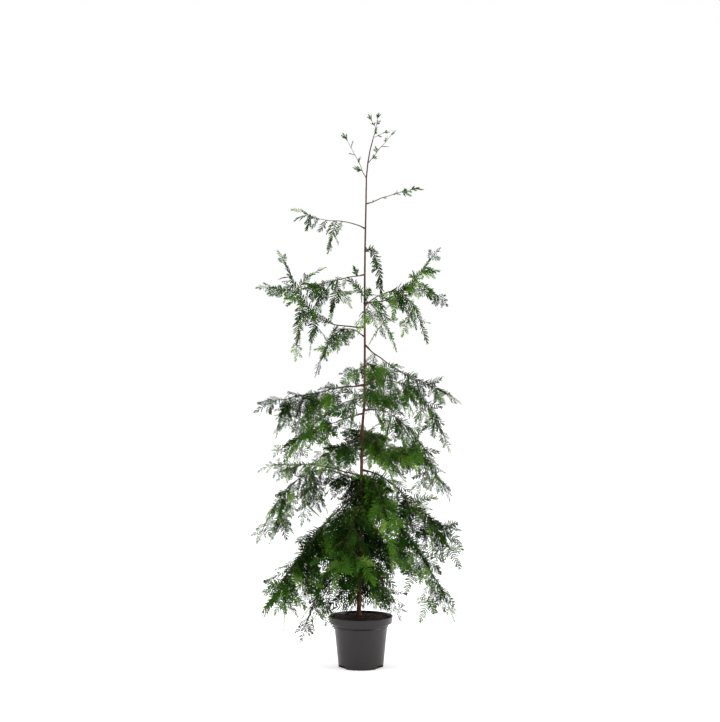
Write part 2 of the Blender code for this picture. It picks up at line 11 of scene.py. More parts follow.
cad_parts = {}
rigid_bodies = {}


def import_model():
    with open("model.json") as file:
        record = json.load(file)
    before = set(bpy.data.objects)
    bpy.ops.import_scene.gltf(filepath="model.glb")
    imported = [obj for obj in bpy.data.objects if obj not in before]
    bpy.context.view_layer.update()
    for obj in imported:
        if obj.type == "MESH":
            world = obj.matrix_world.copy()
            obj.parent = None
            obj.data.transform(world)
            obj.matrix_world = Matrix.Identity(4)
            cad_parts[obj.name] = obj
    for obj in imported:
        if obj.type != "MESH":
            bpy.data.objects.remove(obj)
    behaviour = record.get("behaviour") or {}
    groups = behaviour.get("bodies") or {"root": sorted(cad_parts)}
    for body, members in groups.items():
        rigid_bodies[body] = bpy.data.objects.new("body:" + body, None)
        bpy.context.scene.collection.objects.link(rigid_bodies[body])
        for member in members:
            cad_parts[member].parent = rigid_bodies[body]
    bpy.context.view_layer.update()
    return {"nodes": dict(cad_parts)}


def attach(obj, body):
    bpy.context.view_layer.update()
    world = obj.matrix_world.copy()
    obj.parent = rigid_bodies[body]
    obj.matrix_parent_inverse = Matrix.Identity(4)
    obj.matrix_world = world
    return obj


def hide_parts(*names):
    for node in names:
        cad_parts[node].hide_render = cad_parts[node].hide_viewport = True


noise.seed_set(5)  # so that the kinks of the twigs are the same at each run
print("loading the frame")
for thing in list(bpy.data.objects):
    bpy.data.objects.remove(thing)
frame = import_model()
up = Vector((0, 0, 1))


# camera, light and floor
view = {
    "place": (-0.003, -5.0, 1.006),
    "lens": 75.66,
    "sensor": 36.0,
    "farthest": 100,
    "floorSize": 60.0,
    "paperGlow": 0.24,
    "skyStrength": 1.0,
    "flagWidth": 12.0,
    "flagHeight": 6.0,
    "flagAway": 5.6,
    "lights": (
        # name, place, aimed at, size, watts
        ("keyLeft", (-3.2, -1.3, 2.4), (0, 0, 0.8), 1.6, 75),
        ("fillRight", (3.4, -0.8, 1.6), (0, 0, 0.7), 1.6, 80),
        ("topSoft", (0.3, -0.4, 4.4), (0, 0, 0.8), 2.4, 30),
    ),
}


def linear(hexColour):
    # sRGB hex to linear RGBA
    values = [int(hexColour[i:i + 2], 16) / 255 for i in (1, 3, 5)]
    return (*[v / 12.92 if v <= 0.04045 else ((v + 0.055) / 1.055) ** 2.4 for v in values], 1.0)


def addNode(tree, kind, inputs=None, **settings):
    # one node with its settings, values and links; a node given as a value is its first output
    node = tree.nodes.new(kind)
    for name, value in settings.items():
        setattr(node, name, value)
    for name, value in (inputs or {}).items():
        if isinstance(value, bpy.types.Node):
            value = value.outputs[0]
        if isinstance(value, bpy.types.NodeSocket):
            tree.links.new(value, node.inputs[name])
        else:
            node.inputs[name].default_value = value
    return node


def newMaterial(name, **values):
    material = bpy.data.materials.new(name)
    material.use_nodes = True
    shader = material.node_tree.nodes["Principled BSDF"]
    for label, value in values.items():
        shader.inputs[label.replace("_", " ")].default_value = value
    return material, material.node_tree, shader


def newObject(name, data, *materials):
    piece = bpy.data.objects.new(name, data)
    bpy.context.scene.collection.objects.link(piece)
    for material in materials:
        data.materials.append(material)
    return piece


def setCamera():
    data = bpy.data.cameras.new("camera")
    data.lens, data.sensor_width, data.clip_end = view["lens"], view["sensor"], view["farthest"]
    camera = newObject("camera", data)
    camera.location = view["place"]
    camera.rotation_euler = (math.pi / 2, 0, 0)
    bpy.context.scene.camera = camera


def setLights():
    for name, place, aim, size, watts in view["lights"]:
        data = bpy.data.lights.new(name, "AREA")
        data.shape, data.size, data.energy = "DISK", size, watts
        lamp = newObject(name, data)
        lamp.location = place
        lamp.rotation_euler = (Vector(aim) - Vector(place)).to_track_quat("-Z", "Y").to_euler()
    world = bpy.data.worlds.new("studio")
    bpy.context.scene.world = world
    world.use_nodes = True
    background = world.node_tree.nodes["Background"]
    background.inputs["Color"].default_value = (1, 1, 1, 1)
    background.inputs["Strength"].default_value = view["skyStrength"]


def setSheet(name, corners, material):
    data = bpy.data.meshes.new(name)
    data.from_pydata(corners, [], [(0, 1, 2, 3)])
    sheet = newObject(name, data, material)
    return sheet


def setFloor():
    # matt white paper, pale and even
    paper = newMaterial("matt_white_paper", Base_Color=linear("#ffffff"), Roughness=0.9,
                        Emission_Color=(1, 1, 1, 1), Emission_Strength=view["paperGlow"])[0]
    half = view["floorSize"] / 2
    setSheet("floor", [(-half, -half, 0), (half, -half, 0), (half, half, 0), (-half, half, 0)], paper)


def setFlag():
    # a black cloth behind the camera, unseen by it, that gives the pot and crown their contrast
    cloth = newMaterial("black_cloth", Base_Color=linear("#050505"), Roughness=1.0)[0]
    half, top, away = view["flagWidth"] / 2, view["flagHeight"], -view["flagAway"]
    corners = [(-half, away, 0), (half, away, 0), (half, away, top), (-half, away, top)]
    setSheet("flag", corners, cloth).visible_camera = False


setCamera()
setLights()
setFloor()
setFlag()
bpy.context.scene.view_settings.view_transform = "Standard"


# The tree's plan: the same names, sizes and rule as its solids.
trunkRows = (
    # height, x, y, radius
    (0.1663, -0.008, 0.018, 0.0125),
    (0.171, -0.008, 0.018, 0.0100),
    (0.182, -0.007, 0.017, 0.0080),
    (0.290, -0.003, 0.012, 0.0067),
    (0.460, 0.000, 0.006, 0.0061),
    (0.650, 0.002, 0.000, 0.0054),
    (0.780, 0.004, 0.000, 0.0048),
    (0.880, 0.012, 0.000, 0.0040),
    (1.060, 0.013, 0.002, 0.0036),
    (1.200, 0.012, 0.000, 0.0034),
    (1.370, 0.0135, 0.000, 0.0030),
    (1.540, 0.017, 0.000, 0.0026),
    (1.610, 0.018, 0.000, 0.0024),
    (1.660, 0.023, 0.000, 0.0022),
    (1.700, 0.030, 0.000, 0.0020),
    (1.738, 0.040, 0.000, 0.0018),
)

rule = {
    "clearance": 0.0003, "stemRadius": 0.0022, "stemPoints": 4, "forkPoints": 3,
    "fan": (48, 66), "dipStray": 22, "sizeRange": (0.85, 1.1), "thinning": 0.25,
    "firstStation": 0.6, "droopPull": 0.004, "lastRoot": 0.04,
    "twigShare": 0.55, "twiggySpray": 0.055, "endSpray": (0.92, 0.85), "sideSpray": (0.50, 0.75),
    "aspect": 0.58, "flatWeights": (0.6, 0.8), "shorter": (1.0, 0.8, 0.62),
    "samplesAlong": 8, "samplesAcross": 6, "baseSpace": 0.003, "routeSpace": 0.12,
    "spraySpace": 0.19, "sisterSpace": 0.11, "trunkSpace": 0.14, "lowest": 0.02,
    "potSpace": 0.009, "rimRadius": 0.1055, "potHeight": 0.167,
}

Fork = namedtuple("Fork", "at turn reach rise bend", defaults=(1.0,))
Bough = namedtuple(
    "Bough",
    "name root heading reach rise arch bend limb girth spray droop pitch forks",
    defaults=(0.0, 1.0, 0.0, 0.0, 0.11, 35, 0.055, ()),
)

# One row for each bough or twig on the trunk. root is the height where it leaves the trunk;
# reach and rise are how far out and up its tip lies; arch lifts its middle; bend holds the
# rise back towards the tip. limb is the share of the route that is bare limb, as thick as
# girth at the trunk. spray is the length of its longest sprays, droop how far they hang,
# pitch their spacing, and forks are the twigs that carry more of them.
boughs = (
    Bough("leader", 1.738, 10, 0.016, 0.066, spray=0.020, droop=0, pitch=0.026,
          forks=(Fork(0.04, -20, 0.034, 0.014), Fork(0.55, 170, 0.012, 0.024))),
    Bough("right_1", 1.658, -20, 0.080, 0.085, spray=0.026, droop=0, pitch=0.030),
    Bough("left_1", 1.609, 200, 0.066, 0.122, spray=0.028, droop=0, pitch=0.032),
    Bough("right_2", 1.523, 15, 0.168, 0.055, arch=0.005, limb=0.55, girth=0.0040,
          spray=0.030, droop=0, pitch=0.022),
    Bough("left_2", 1.441, 168, 0.212, 0.065, arch=0.028, bend=5, limb=0.30, girth=0.0042,
          spray=0.048, droop=50, pitch=0.032, forks=(Fork(0.46, 20, 0.018, -0.060),)),
    Bough("right_3", 1.363, 12, 0.056, -0.130, arch=0.020, bend=3, spray=0.042, droop=20,
          pitch=0.028),
    Bough("left_3", 1.291, 197, 0.210, -0.050, bend=1.2, limb=0.40, girth=0.0044,
          spray=0.065, droop=35, pitch=0.062,
          forks=(Fork(0.44, -50, 0.022, -0.095), Fork(0.68, 10, 0.020, -0.070))),
    Bough("left_4", 1.118, 186, 0.262, 0.205, bend=3.4, limb=0.50, girth=0.0054,
          spray=0.075, droop=20, pitch=0.064,
          forks=(Fork(0.84, -15, 0.080, 0.016), Fork(0.80, 10, 0.015, -0.150),
                 Fork(0.86, 165, 0.050, 0.045), Fork(0.62, 15, 0.015, -0.085))),
    Bough("left_5", 1.085, 205, 0.160, -0.080, arch=0.034, bend=3, limb=0.35, girth=0.0046,
          spray=0.075, droop=40, pitch=0.050),
    Bough("right_4", 1.197, -8, 0.214, 0.142, bend=2.4, limb=0.50, girth=0.0052,
          spray=0.065, droop=20, pitch=0.052, forks=(Fork(0.78, 25, 0.080, -0.055),)),
    Bough("right_5", 1.185, -36, 0.228, -0.068, arch=0.046, bend=7, limb=0.50, girth=0.0044,
          spray=0.085, droop=45, pitch=0.064),
    Bough("front_1", 1.215, 262, 0.150, 0.030, spray=0.080, droop=20, pitch=0.064),
    Bough("right_6", 1.205, 304, 0.155, -0.120, bend=1.6, spray=0.080, droop=35,
          pitch=0.064),
    Bough("right_7", 1.060, -14, 0.262, -0.150, arch=-0.014, bend=0.9, limb=0.40,
          girth=0.0050, spray=0.090, droop=35, pitch=0.064),
    Bough("front_2", 1.010, 286, 0.170, -0.080, spray=0.085, droop=30, pitch=0.064),
    Bough("back_1", 1.000, 70, 0.220, -0.030, spray=0.100, droop=30, pitch=0.064),
    Bough("left_6", 0.928, 174, 0.296, -0.054, bend=1.2, limb=0.42,
          girth=0.0060, spray=0.110, droop=50, pitch=0.060,
          forks=(Fork(0.60, 15, 0.030, -0.100), Fork(0.90, -12, 0.022, -0.085))),
    Bough("left_7", 0.885, 208, 0.235, -0.130, bend=1.8, spray=0.110, droop=45,
          pitch=0.064),
    Bough("left_8", 0.833, 158, 0.280, -0.110, bend=1.3, limb=0.40, girth=0.0052,
          spray=0.120, droop=35, pitch=0.064),
    Bough("back_2", 0.915, 62, 0.220, -0.040, spray=0.110, droop=30, pitch=0.064),
    Bough("right_8", 0.925, -12, 0.258, -0.150, arch=0.026, bend=2.8, limb=0.40, girth=0.0054,
          spray=0.110, droop=40, pitch=0.064),
    Bough("right_9", 0.842, -38, 0.250, -0.125, arch=0.012, bend=2.2, limb=0.40, girth=0.0052,
          spray=0.110, droop=40, pitch=0.064),
    Bough("left_9", 0.756, 222, 0.175, -0.055, spray=0.110, droop=30, pitch=0.064),
    Bough("right_10", 0.751, 302, 0.180, -0.110, arch=0.015, bend=2, spray=0.105, droop=30,
          pitch=0.064),
    Bough("back_3", 0.760, 84, 0.230, 0.000, spray=0.120, droop=30, pitch=0.064),
    Bough("left_10", 0.625, 160, 0.315, 0.030, arch=0.018, limb=0.58, girth=0.0058,
          spray=0.085, droop=30, pitch=0.064),
    Bough("left_11", 0.600, 182, 0.314, -0.125, arch=0.054, bend=3.4, limb=0.45,
          girth=0.0062, spray=0.105, droop=45, pitch=0.064,
          forks=(Fork(0.80, 5, 0.034, -0.105, 0.7), Fork(0.50, -12, 0.030, -0.110))),
    Bough("right_11", 0.690, 28, 0.300, -0.090, arch=0.030, bend=4, limb=0.45,
          girth=0.0054, spray=0.110, droop=30, pitch=0.064),
    Bough("right_12", 0.647, -4, 0.284, -0.245, bend=1.6, limb=0.45, girth=0.0064,
          spray=0.120, droop=35, pitch=0.064,
          forks=(Fork(0.75, 22, 0.056, -0.030), Fork(0.50, -20, 0.030, -0.100))),
    Bough("front_3", 0.614, 293, 0.205, -0.110, arch=0.030, bend=2, limb=0.35,
          girth=0.0054, spray=0.135, droop=45, pitch=0.052),
    Bough("left_12", 0.574, 214, 0.300, -0.265, bend=1.3, limb=0.45, girth=0.0064,
          spray=0.125, droop=40, pitch=0.064,
          forks=(Fork(0.66, 30, 0.030, -0.130), Fork(0.95, 25, 0.012, -0.085))),
    Bough("front_4", 0.555, 253, 0.240, -0.180, limb=0.35, girth=0.0058, spray=0.140,
          droop=35, pitch=0.052),
    Bough("right_13", 0.550, -25, 0.300, -0.310, bend=1.8, limb=0.42, girth=0.0064,
          spray=0.125, droop=35, pitch=0.064),
    Bough("back_4", 0.500, 116, 0.280, -0.140, spray=0.140, droop=30, pitch=0.072),
    Bough("back_5", 0.450, 52, 0.250, -0.130, spray=0.140, droop=30, pitch=0.064),
    Bough("left_13", 0.390, 200, 0.180, -0.220, bend=2.2, spray=0.120, droop=20,
          pitch=0.064),
    Bough("right_14", 0.340, 314, 0.140, -0.100, bend=1.8, spray=0.105, droop=10,
          pitch=0.064),
)


def trunkAt(height):
    levels = [row[0] for row in trunkRows]
    x, y, radius = (np.interp(height, levels, [row[i] for row in trunkRows]) for i in (1, 2, 3))
    return Vector((x, y, height)), float(radius)


def towards(heading):
    angle = math.radians(heading)
    return Vector((math.cos(angle), math.sin(angle), 0))


def boughRoute(bough, share):
    start, _ = trunkAt(bough.root)
    out = towards(bough.heading) * bough.reach * share
    lift = bough.rise * share**bough.bend + bough.arch * 4 * share * (1 - share)
    return start + out + Vector((0, 0, lift))


def forkRoute(bough, fork, share):
    out = towards(bough.heading + fork.turn) * fork.reach * share
    return boughRoute(bough, fork.at) + out + Vector((0, 0, fork.rise * share**fork.bend))


def rootShare(bough, radius):
    # the share of the route at which a stem of this radius just clears the trunk
    if bough.root == trunkRows[-1][0]:
        return 2 * rule["clearance"] / Vector((bough.reach, 0, bough.rise)).length
    start, trunkRadius = trunkAt(bough.root)
    ahead = (boughRoute(bough, 0.06) - start).normalized()
    return (trunkRadius + rule["clearance"] + radius * abs(ahead.z)) / bough.reach


def stretch(route, first, last, count):
    return [route(first + (last - first) * i / (count - 1)) for i in range(count)]


def stemsOf(bough):
    # each stem: its straight points, and its own route with the shares it runs between
    if bough.limb:
        shares = (bough.limb * 0.85, bough.limb, bough.limb * 1.3)
        before, here, after = (boughRoute(bough, share) for share in shares)
        gap = rule["clearance"] + rule["stemRadius"] * math.sin((here - before).angle(after - here))
        first = bough.limb + gap / (after - here).length * (shares[2] - shares[1])
    else:
        first = rootShare(bough, rule["stemRadius"])
    mainRoute = lambda share: boughRoute(bough, share)
    stems = [(stretch(mainRoute, first, 1, rule["stemPoints"]), mainRoute, first)]
    for fork in bough.forks:
        forkLine = lambda share, fork=fork: forkRoute(bough, fork, share)
        stems.append((stretch(forkLine, 0, 1, rule["forkPoints"]), forkLine, 0))
    return stems


def allSpaces():
    # every route as short straight pieces: their ends, whose they are, and which are bare
    starts, ends, owners, bare = [], [], [], []
    for number, bough in enumerate(boughs):
        split = max(bough.limb, 0.02)
        lines = [stretch(lambda share: boughRoute(bough, share), 0, split, 5)]
        lines.append(stretch(lambda share: boughRoute(bough, share), split, 1, 6))
        for fork in bough.forks:
            lines.append(stretch(lambda share: forkRoute(bough, fork, share), 0, 1, 4))
        for line in lines:
            for start, end in zip(line, line[1:]):
                starts.append(start)
                ends.append(end)
                owners.append(number)
                bare.append(line is lines[0] and bough.limb > 0)
    return np.array(starts), np.array(ends), np.array(owners), np.array(bare)


def distances(points, starts, ends):
    along = ends - starts
    steps = ((points[:, None] - starts) * along).sum(2) / (along * along).sum(1)
    nearest = starts + along * np.clip(steps, 0, 1)[:, :, None]
    return np.linalg.norm(points[:, None] - nearest, axis=2)


def fits(points, length, number, space, taken):
    starts, ends, owners, bare = space
    others = (owners != number) | bare
    free = rule["baseSpace"] + rule["routeSpace"] * length
    if (distances(points, starts[others], ends[others]) < free).any():
        return False
    axis = np.array([row[1:3] + row[:1] for row in trunkRows])
    free = rule["baseSpace"] + rule["trunkSpace"] * length + trunkAt(points[:, 2].mean())[1]
    if (distances(points, axis[:-1], axis[1:]) < free).any():
        return False
    overPot = np.hypot(points[:, 0], points[:, 1]) < rule["rimRadius"] + rule["potSpace"]
    lowest = np.where(overPot, rule["potHeight"] + rule["potSpace"], rule["lowest"])
    if (points[:, 2] < lowest).any():
        return False
    middle = points.mean(0)
    for owner, centre, reach, theirs in taken:
        if np.linalg.norm(centre - middle) > reach + length * 1.2:
            continue
        first = rule["samplesAcross"] * 2 if owner == number else 0
        share = rule["sisterSpace"] if owner == number else rule["spraySpace"]
        gaps = np.linalg.norm(points[first:, None] - theirs[first:], axis=2)
        if (gaps < rule["baseSpace"] + share * length).any():
            return False
    return True


def turnedOff(ahead, fan, dip, side):
    # leaves the stem by the fan angle, to one side, dipping under it
    sideways = ahead.cross(up).normalized()
    upright = sideways.cross(ahead)
    off = sideways * side * math.cos(dip) - upright * math.sin(dip)
    return (ahead * math.cos(fan) + off * math.sin(fan)).normalized()


def spraySamples(root, ahead, flat, length):
    across = flat.cross(ahead)
    half = length * rule["aspect"] / 2
    return np.array([
        root + ahead * length * along + across * half * off * (1 - 0.35 * along)
        for along in np.linspace(0.15, 1, rule["samplesAlong"])
        for off in np.linspace(-1, 1, rule["samplesAcross"])
    ])


def sprayCourse(course, droop):
    return (course + Vector((0, 0, -rule["droopPull"] * droop))).normalized()


def spraySide(course, turn):
    # the direction that the flat of a spray faces
    upward, around = rule["flatWeights"]
    flat = Vector((around * math.cos(turn), around * math.sin(turn), upward))
    return (flat - course * flat.dot(course)).normalized()


def growthOf(number, space, taken):
    # the seeded rule: twigs as (start, direction, reach, where it leaves the stem), and
    # sprays as (start, direction, flat side, length, where it leaves the stem or None)
    bough = boughs[number]
    dice = random.Random(100 + number)
    twigs, sprays = [], []

    def grow(start, ahead, turn, size, leaves):
        course = sprayCourse(ahead, bough.droop)
        flat = spraySide(course, turn)
        for length in (size * share for share in rule["shorter"]):
            points = spraySamples(start, course, flat, length)
            if fits(points, length, number, space, taken):
                taken.append((number, points.mean(0), length, points))
                sprays.append((start, course, flat, length, leaves))
                return

    for stem, route, first in stemsOf(bough):
        length = sum((b - a).length for a, b in zip(stem, stem[1:]))
        count = max(1, round(length / bough.pitch))
        for i in range(count + 1):
            place = (i + rule["firstStation"]) / (count + rule["firstStation"]) * (len(stem) - 1)
            step = min(int(place), len(stem) - 2)
            start = stem[step].lerp(stem[step + 1], min(place - step, 1))
            leaves = route(first + (1 - first) * place / (len(stem) - 1))
            ahead = (stem[step + 1] - stem[step]).normalized()
            side = -1 if (i + number) % 2 else 1
            fan = math.radians(dice.uniform(*rule["fan"]))
            stray = rule["dipStray"]
            dip = math.radians(bough.droop + dice.uniform(-stray, stray))
            turns = [math.radians(dice.uniform(0, 360)) for _ in range(2)]
            size = bough.spray * dice.uniform(*rule["sizeRange"]) * (1 - rule["thinning"] * i / count)
            if i == count:
                grow(stem[-1].lerp(stem[-2], rule["lastRoot"]), ahead, turns[0], size, None)
                continue
            off = turnedOff(ahead, fan, dip, side)
            if i % 2 or bough.spray < rule["twiggySpray"]:
                grow(start, off, turns[0], size, leaves)
                continue
            reach = size * rule["twigShare"]
            before = len(sprays)
            at, share = rule["endSpray"]
            grow(start + off * reach * at, off, turns[0], size * share, None)
            at, share = rule["sideSpray"]
            other = turnedOff(off, fan, dip, -side)
            grow(start + off * reach * at, other, turns[1], size * share, None)
            if len(sprays) > before:
                twigs.append((start, off, reach, leaves))
    return twigs, sprays


# The rule carried on to finer twigs and feathers of needles.
kinks = {
    "size": 0.0042,          # how far a stem wanders off its route
    "length": 0.040,
    "apart": 3.7,            # so that no two boughs wander alike
    "grow": 10,              # how soon after its root it wanders in full
}

# stems that carry only their own long needles and the rule's sprays: 0 is the bough itself,
# and the others are its forks
fishbones = {"right_3": (0,), "left_2": (1,), "left_3": (1, 2), "left_4": (2, 4)}

# how much leafier or barer than the rest a bough is
fullness = {
    "right_2": 0.6, "left_2": 1.2, "left_3": 0.8, "left_4": 0.7, "right_4": 0.85,
    "left_5": 1.15, "front_1": 0.6, "right_6": 0.6, "right_7": 0.7, "front_2": 0.5,
    "back_1": 0.6, "left_6": 1.2, "left_7": 0.6, "left_8": 0.6, "right_8": 0.72,
    "right_9": 0.72, "left_9": 0.7, "right_10": 0.85, "left_10": 0.5, "left_11": 0.95,
    "right_11": 1.6, "right_13": 0.95, "left_12": 1.5, "left_13": 1.3, "right_14": 1.3,
}

# how much brighter the boughs in full light are, in front of the trunk
litBoughs = {"front_2": 0.10, "front_3": 0.20, "right_10": 0.12}

greens = {
    # name: colour, and the tone up to which it is dealt; the pale one is dealt by its share
    "needles_deep": ("#0e1f06", 0.22),
    "needles_shade": ("#1a340b", 0.40),
    "needles_mid": ("#294c11", 0.57),
    "needles_fresh": ("#436b1b", 0.76),
    "needles_tip": ("#6e9236", 9.0),
    "needles_pale": ("#4c6727", 0.0),
}

# the needles' tones: random patches and fresh tips, with painted shade low in the crown and towards its
# middle, and a little lighter higher up
tones = {
    "patch": 0.060,          # the size of a patch of one green
    "patchStrength": 0.42,
    "sprayStray": 0.13,
    "featherStray": 0.10,
    "axis": 0.005,           # where the crown's middle stands
    "paintedShadeBelow": 0.62,       # under it painted shade darkens the needles towards the trunk, less outwards
    "paintedShadeDarkest": 0.08,
    "paintedShadeLift": 0.36,
    "paintedShadeReach": 0.24,
    "middleHeight": 1.02,
    "middleBase": 0.42,
    "highBase": 0.48,
    "tipGain": 0.16,
    "paleShare": 0.08,
}


class Lines:
    # polylines with values at their points, gathered to become one piece
    def __init__(self, *labels):
        self.points, self.edges = [], []
        self.values = {label: [] for label in labels}

    def add(self, points, **values):
        # a value is one for the whole line, or a list or tuple of one for each point
        first, count = len(self.points), len(points)
        self.points += [tuple(point) for point in points]
        self.edges += [(first + i, first + i + 1) for i in range(count - 1)]
        for label, value in values.items():
            self.values[label] += value if isinstance(value, (list, tuple)) else [value] * count


boughShoots, twigShoots, midribs = Lines("girth"), Lines("girth"), Lines("girth")
feathers = {name: Lines("gap", "needle", "lean", "flat") for name in greens}


def strayed(point, key, share=1.0):
    # small kinks off the route, none at its root
    where = point / kinks["length"] + Vector((key * kinks["apart"], 0, 0))
    return point + noise.noise_vector(where) * kinks["size"] * min(1, share * kinks["grow"])


def toneAndPaintedShadeAt(dice, point, terminal=False, lit=0.0):
    # how bright the needles are here. Painted shade: they are dark low in the crown and towards the
    # trunk, lighter outwards and a little lighter higher up. They are bright at the fresh tips and vary
    # in random patches, and lit adds painted light to the boughs in litBoughs
    radius = math.hypot(point.x - tones["axis"], point.y)
    if point.z < tones["paintedShadeBelow"]:
        tone = tones["paintedShadeDarkest"] + tones["paintedShadeLift"] * min(1, radius / tones["paintedShadeReach"])
    else:
        tone = tones["middleBase" if point.z < tones["middleHeight"] else "highBase"]
    tone += tones["patchStrength"] * noise.noise(point / tones["patch"])
    return tone + dice.gauss(0, tones["sprayStray"]) + (tones["tipGain"] if terminal else 0) + lit


def greenOf(dice, tone):
    if dice.random() < tones["paleShare"]:
        return "needles_pale"
    return next(name for name, (_, highest) in greens.items() if tone < highest)


def rolled(flat, axis, degrees):
    return Matrix.Rotation(math.radians(degrees), 3, axis) @ flat


# a feather: a drooping midrib with two rows of needles
feather = {
    "steps": 4,
    "sag": 0.24,
    "sagStray": (0.5, 1.6),
    "styles": (              # from this height up: a needle's share of its feather, its lean
        (1.04, 0.50, 57),
        (0.70, 0.41, 64),
        (0.0, 0.35, 70),
    ),
    "needleStray": (0.9, 1.12),
    "needleRange": (0.0060, 0.029),
    "gap": (0.0021, 0.200),  # between needles: at least, and as a share of the needle
    "large": 0.045,          # longer feathers than this never take the green of the tips
    "levelFrom": 0.32,       # none lies level lower than this
    "level": 0.90,
    "rimReach": 0.110,       # they hang over the rim, clear of it and of the peat
    "rimTop": 0.1725,
    "midrib": (0.00036, 0.0038),  # its radius: at least, and for each metre of the feather
    "midribTaper": (1, 0.9, 0.8, 0.65, 0.45),
}


def addNeedles(green, points, flat, size, lean, gap=None):
    # two rows of needles along a line, for the tree of Geometry Nodes to grow
    least, share = feather["gap"]
    feathers[green].add(points, flat=flat, needle=size, lean=math.radians(lean),
                        gap=gap or least + size * share)


def addFeather(root, course, flat, length, dice, tone, needleShare=None, lean=None, gap=None):
    points, here, ahead = [root], root, course
    steps = feather["steps"]
    sag = feather["sag"] * dice.uniform(*feather["sagStray"])
    for _ in range(steps):
        ahead = (ahead - up * sag / steps).normalized()
        here = here + ahead * length / steps
        points.append(here)
    overRim = any(math.hypot(p.x, p.y) < feather["rimReach"] and p.z < feather["rimTop"] for p in points)
    if overRim or min(p.z for p in points) < rule["lowest"]:
        return
    if length > feather["large"]:
        tone = min(tone, greens["needles_mid"][1])
    usualShare, usualLean = next(row[1:] for row in feather["styles"] if root.z >= row[0])
    needle = length * (needleShare or usualShare) * dice.uniform(*feather["needleStray"])
    shortest, longest = feather["needleRange"]
    needle = min(max(needle, shortest), longest)
    stray = tones["featherStray"]
    green = greenOf(dice, tone + dice.uniform(-stray, stray))
    if root.z < feather["levelFrom"] and flat.z > feather["level"]:
        return
    addNeedles(green, points, flat, needle, lean or usualLean, gap)
    least, share = feather["midrib"]
    midribs.add(points, girth=[(least + share * length) * taper for taper in feather["midribTaper"]])


# a spray: a fine twig with pairs of side feathers and one at its end
spray = {
    "twig": 0.50,            # its own twig, as a share of the spray
    "twigSteps": 4,
    "twigSag": 0.02,
    "twigThick": (0.0006, 0.006),  # its radius: at least, and for each metre of the spray
    "twigTaper": 0.4,
    "tie": (0.0011, 0.0009, 0.0008),  # the radii of the twig that ties it to its stem
    "tieBendAt": 0.3,
    "tieBend": 0.002,
    "tieInside": 0.004,
    "endLonger": 1.02,
    "endTone": 0.08,
    "pairPitch": 0.016,      # between pairs of side feathers
    "pairStart": 0.42,
    "pairStagger": 0.16,
    "pairStray": 0.15,
    "sideShare": 0.54,       # the first side feather, as a share of the spray
    "sideThinning": 0.30,
    "sideStray": (0.70, 1.15),
    "sideFan": (36, 62),
    "sideRoll": 40,
    "bigFrom": 0.084,        # longer sprays than this low in the crown are single large feathers
    "bigUnder": 0.62,
    "bigTwig": 0.22,
    "bigNeedle": 0.29,
    "budUnder": 0.034,       # shorter ones are buds that have just opened: narrow tufts
    "budLonger": 1.35,
    "budSides": (0.5, 0.8),
    "budSpread": 0.45,
    "budStep": 0.15,
    "budTone": 0.5,
    "budNeedle": 0.42,
    "budLean": 24,
    "airyFrom": (1.38, 1.04),    # from these heights up
    "airyShare": (1.0, 0.50),    # this share of them is one airy feather
    "airyNeedle": 0.0165,
    "airyGap": 0.0052,
    "airyLean": 56,
}


def addBud(start, course, flat, length, dice, tone):
    across = flat.cross(course)
    shares = (1, dice.uniform(*spray["budSides"]), dice.uniform(*spray["budSides"]))
    for side, share in zip((0, -1, 1), shares):
        off = (course + across * side * spray["budSpread"]).normalized()
        root = start + course * length * spray["budStep"] * abs(side)
        addFeather(root, off, flat, length * share, dice, min(tone, spray["budTone"]),
                   spray["budNeedle"], spray["budLean"])


def addSpray(start, course, flat, length, dice, leaves=None, lit=0.0):
    if leaves is not None:
        bend = start.lerp(leaves, spray["tieBendAt"]) + course * spray["tieBend"]
        twigShoots.add([leaves, bend, start + course * spray["tieInside"]], girth=spray["tie"])
    tone = toneAndPaintedShadeAt(dice, start + course * length / 2, leaves is None, lit)
    if length < spray["budUnder"]:
        addBud(start, course, flat, length * spray["budLonger"], dice, tone)
        return
    airy = next((share for height, share in zip(spray["airyFrom"], spray["airyShare"])
                 if start.z > height), 0)
    if dice.random() < airy:
        addFeather(start, course, flat, length, dice, tone, spray["airyNeedle"] / length,
                   spray["airyLean"], spray["airyGap"])
        return
    across = flat.cross(course)
    big = length > spray["bigFrom"] and start.z < spray["bigUnder"]
    core = length * spray["bigTwig" if big else "twig"]
    steps = spray["twigSteps"]
    points, here, ahead = [start], start, course
    for _ in range(steps):
        ahead = (ahead - up * spray["twigSag"]).normalized()
        here = here + ahead * core / steps
        points.append(here)
    least, share = spray["twigThick"]
    thick = least + share * length
    radii = [thick * (1 - spray["twigTaper"] * i / steps) for i in range(steps + 1)]
    twigShoots.add(points, girth=radii)
    addFeather(here, ahead, flat, (length - core) * spray["endLonger"], dice,
               tone + (0 if big else spray["endTone"]), spray["bigNeedle"] if big else None)
    pairs = 2 if big else max(2, round(core / spray["pairPitch"]))
    stray, roll = spray["pairStray"], spray["sideRoll"]
    for k in range(pairs):
        for side in (-1, 1):
            at = k + spray["pairStart"] + spray["pairStagger"] * side + dice.uniform(-stray, stray)
            root = points[0].lerp(points[-1], min(max(at / pairs, 0), 1))
            fan = math.radians(dice.uniform(*spray["sideFan"]))
            off = (course * math.cos(fan) + across * side * math.sin(fan)).normalized()
            share = spray["sideShare"] * (1 - spray["sideThinning"] * k / pairs)
            share *= dice.uniform(*spray["sideStray"])
            turned = rolled(flat, off, dice.uniform(-roll, roll))
            addFeather(root, off, turned, length * share, dice, tone)


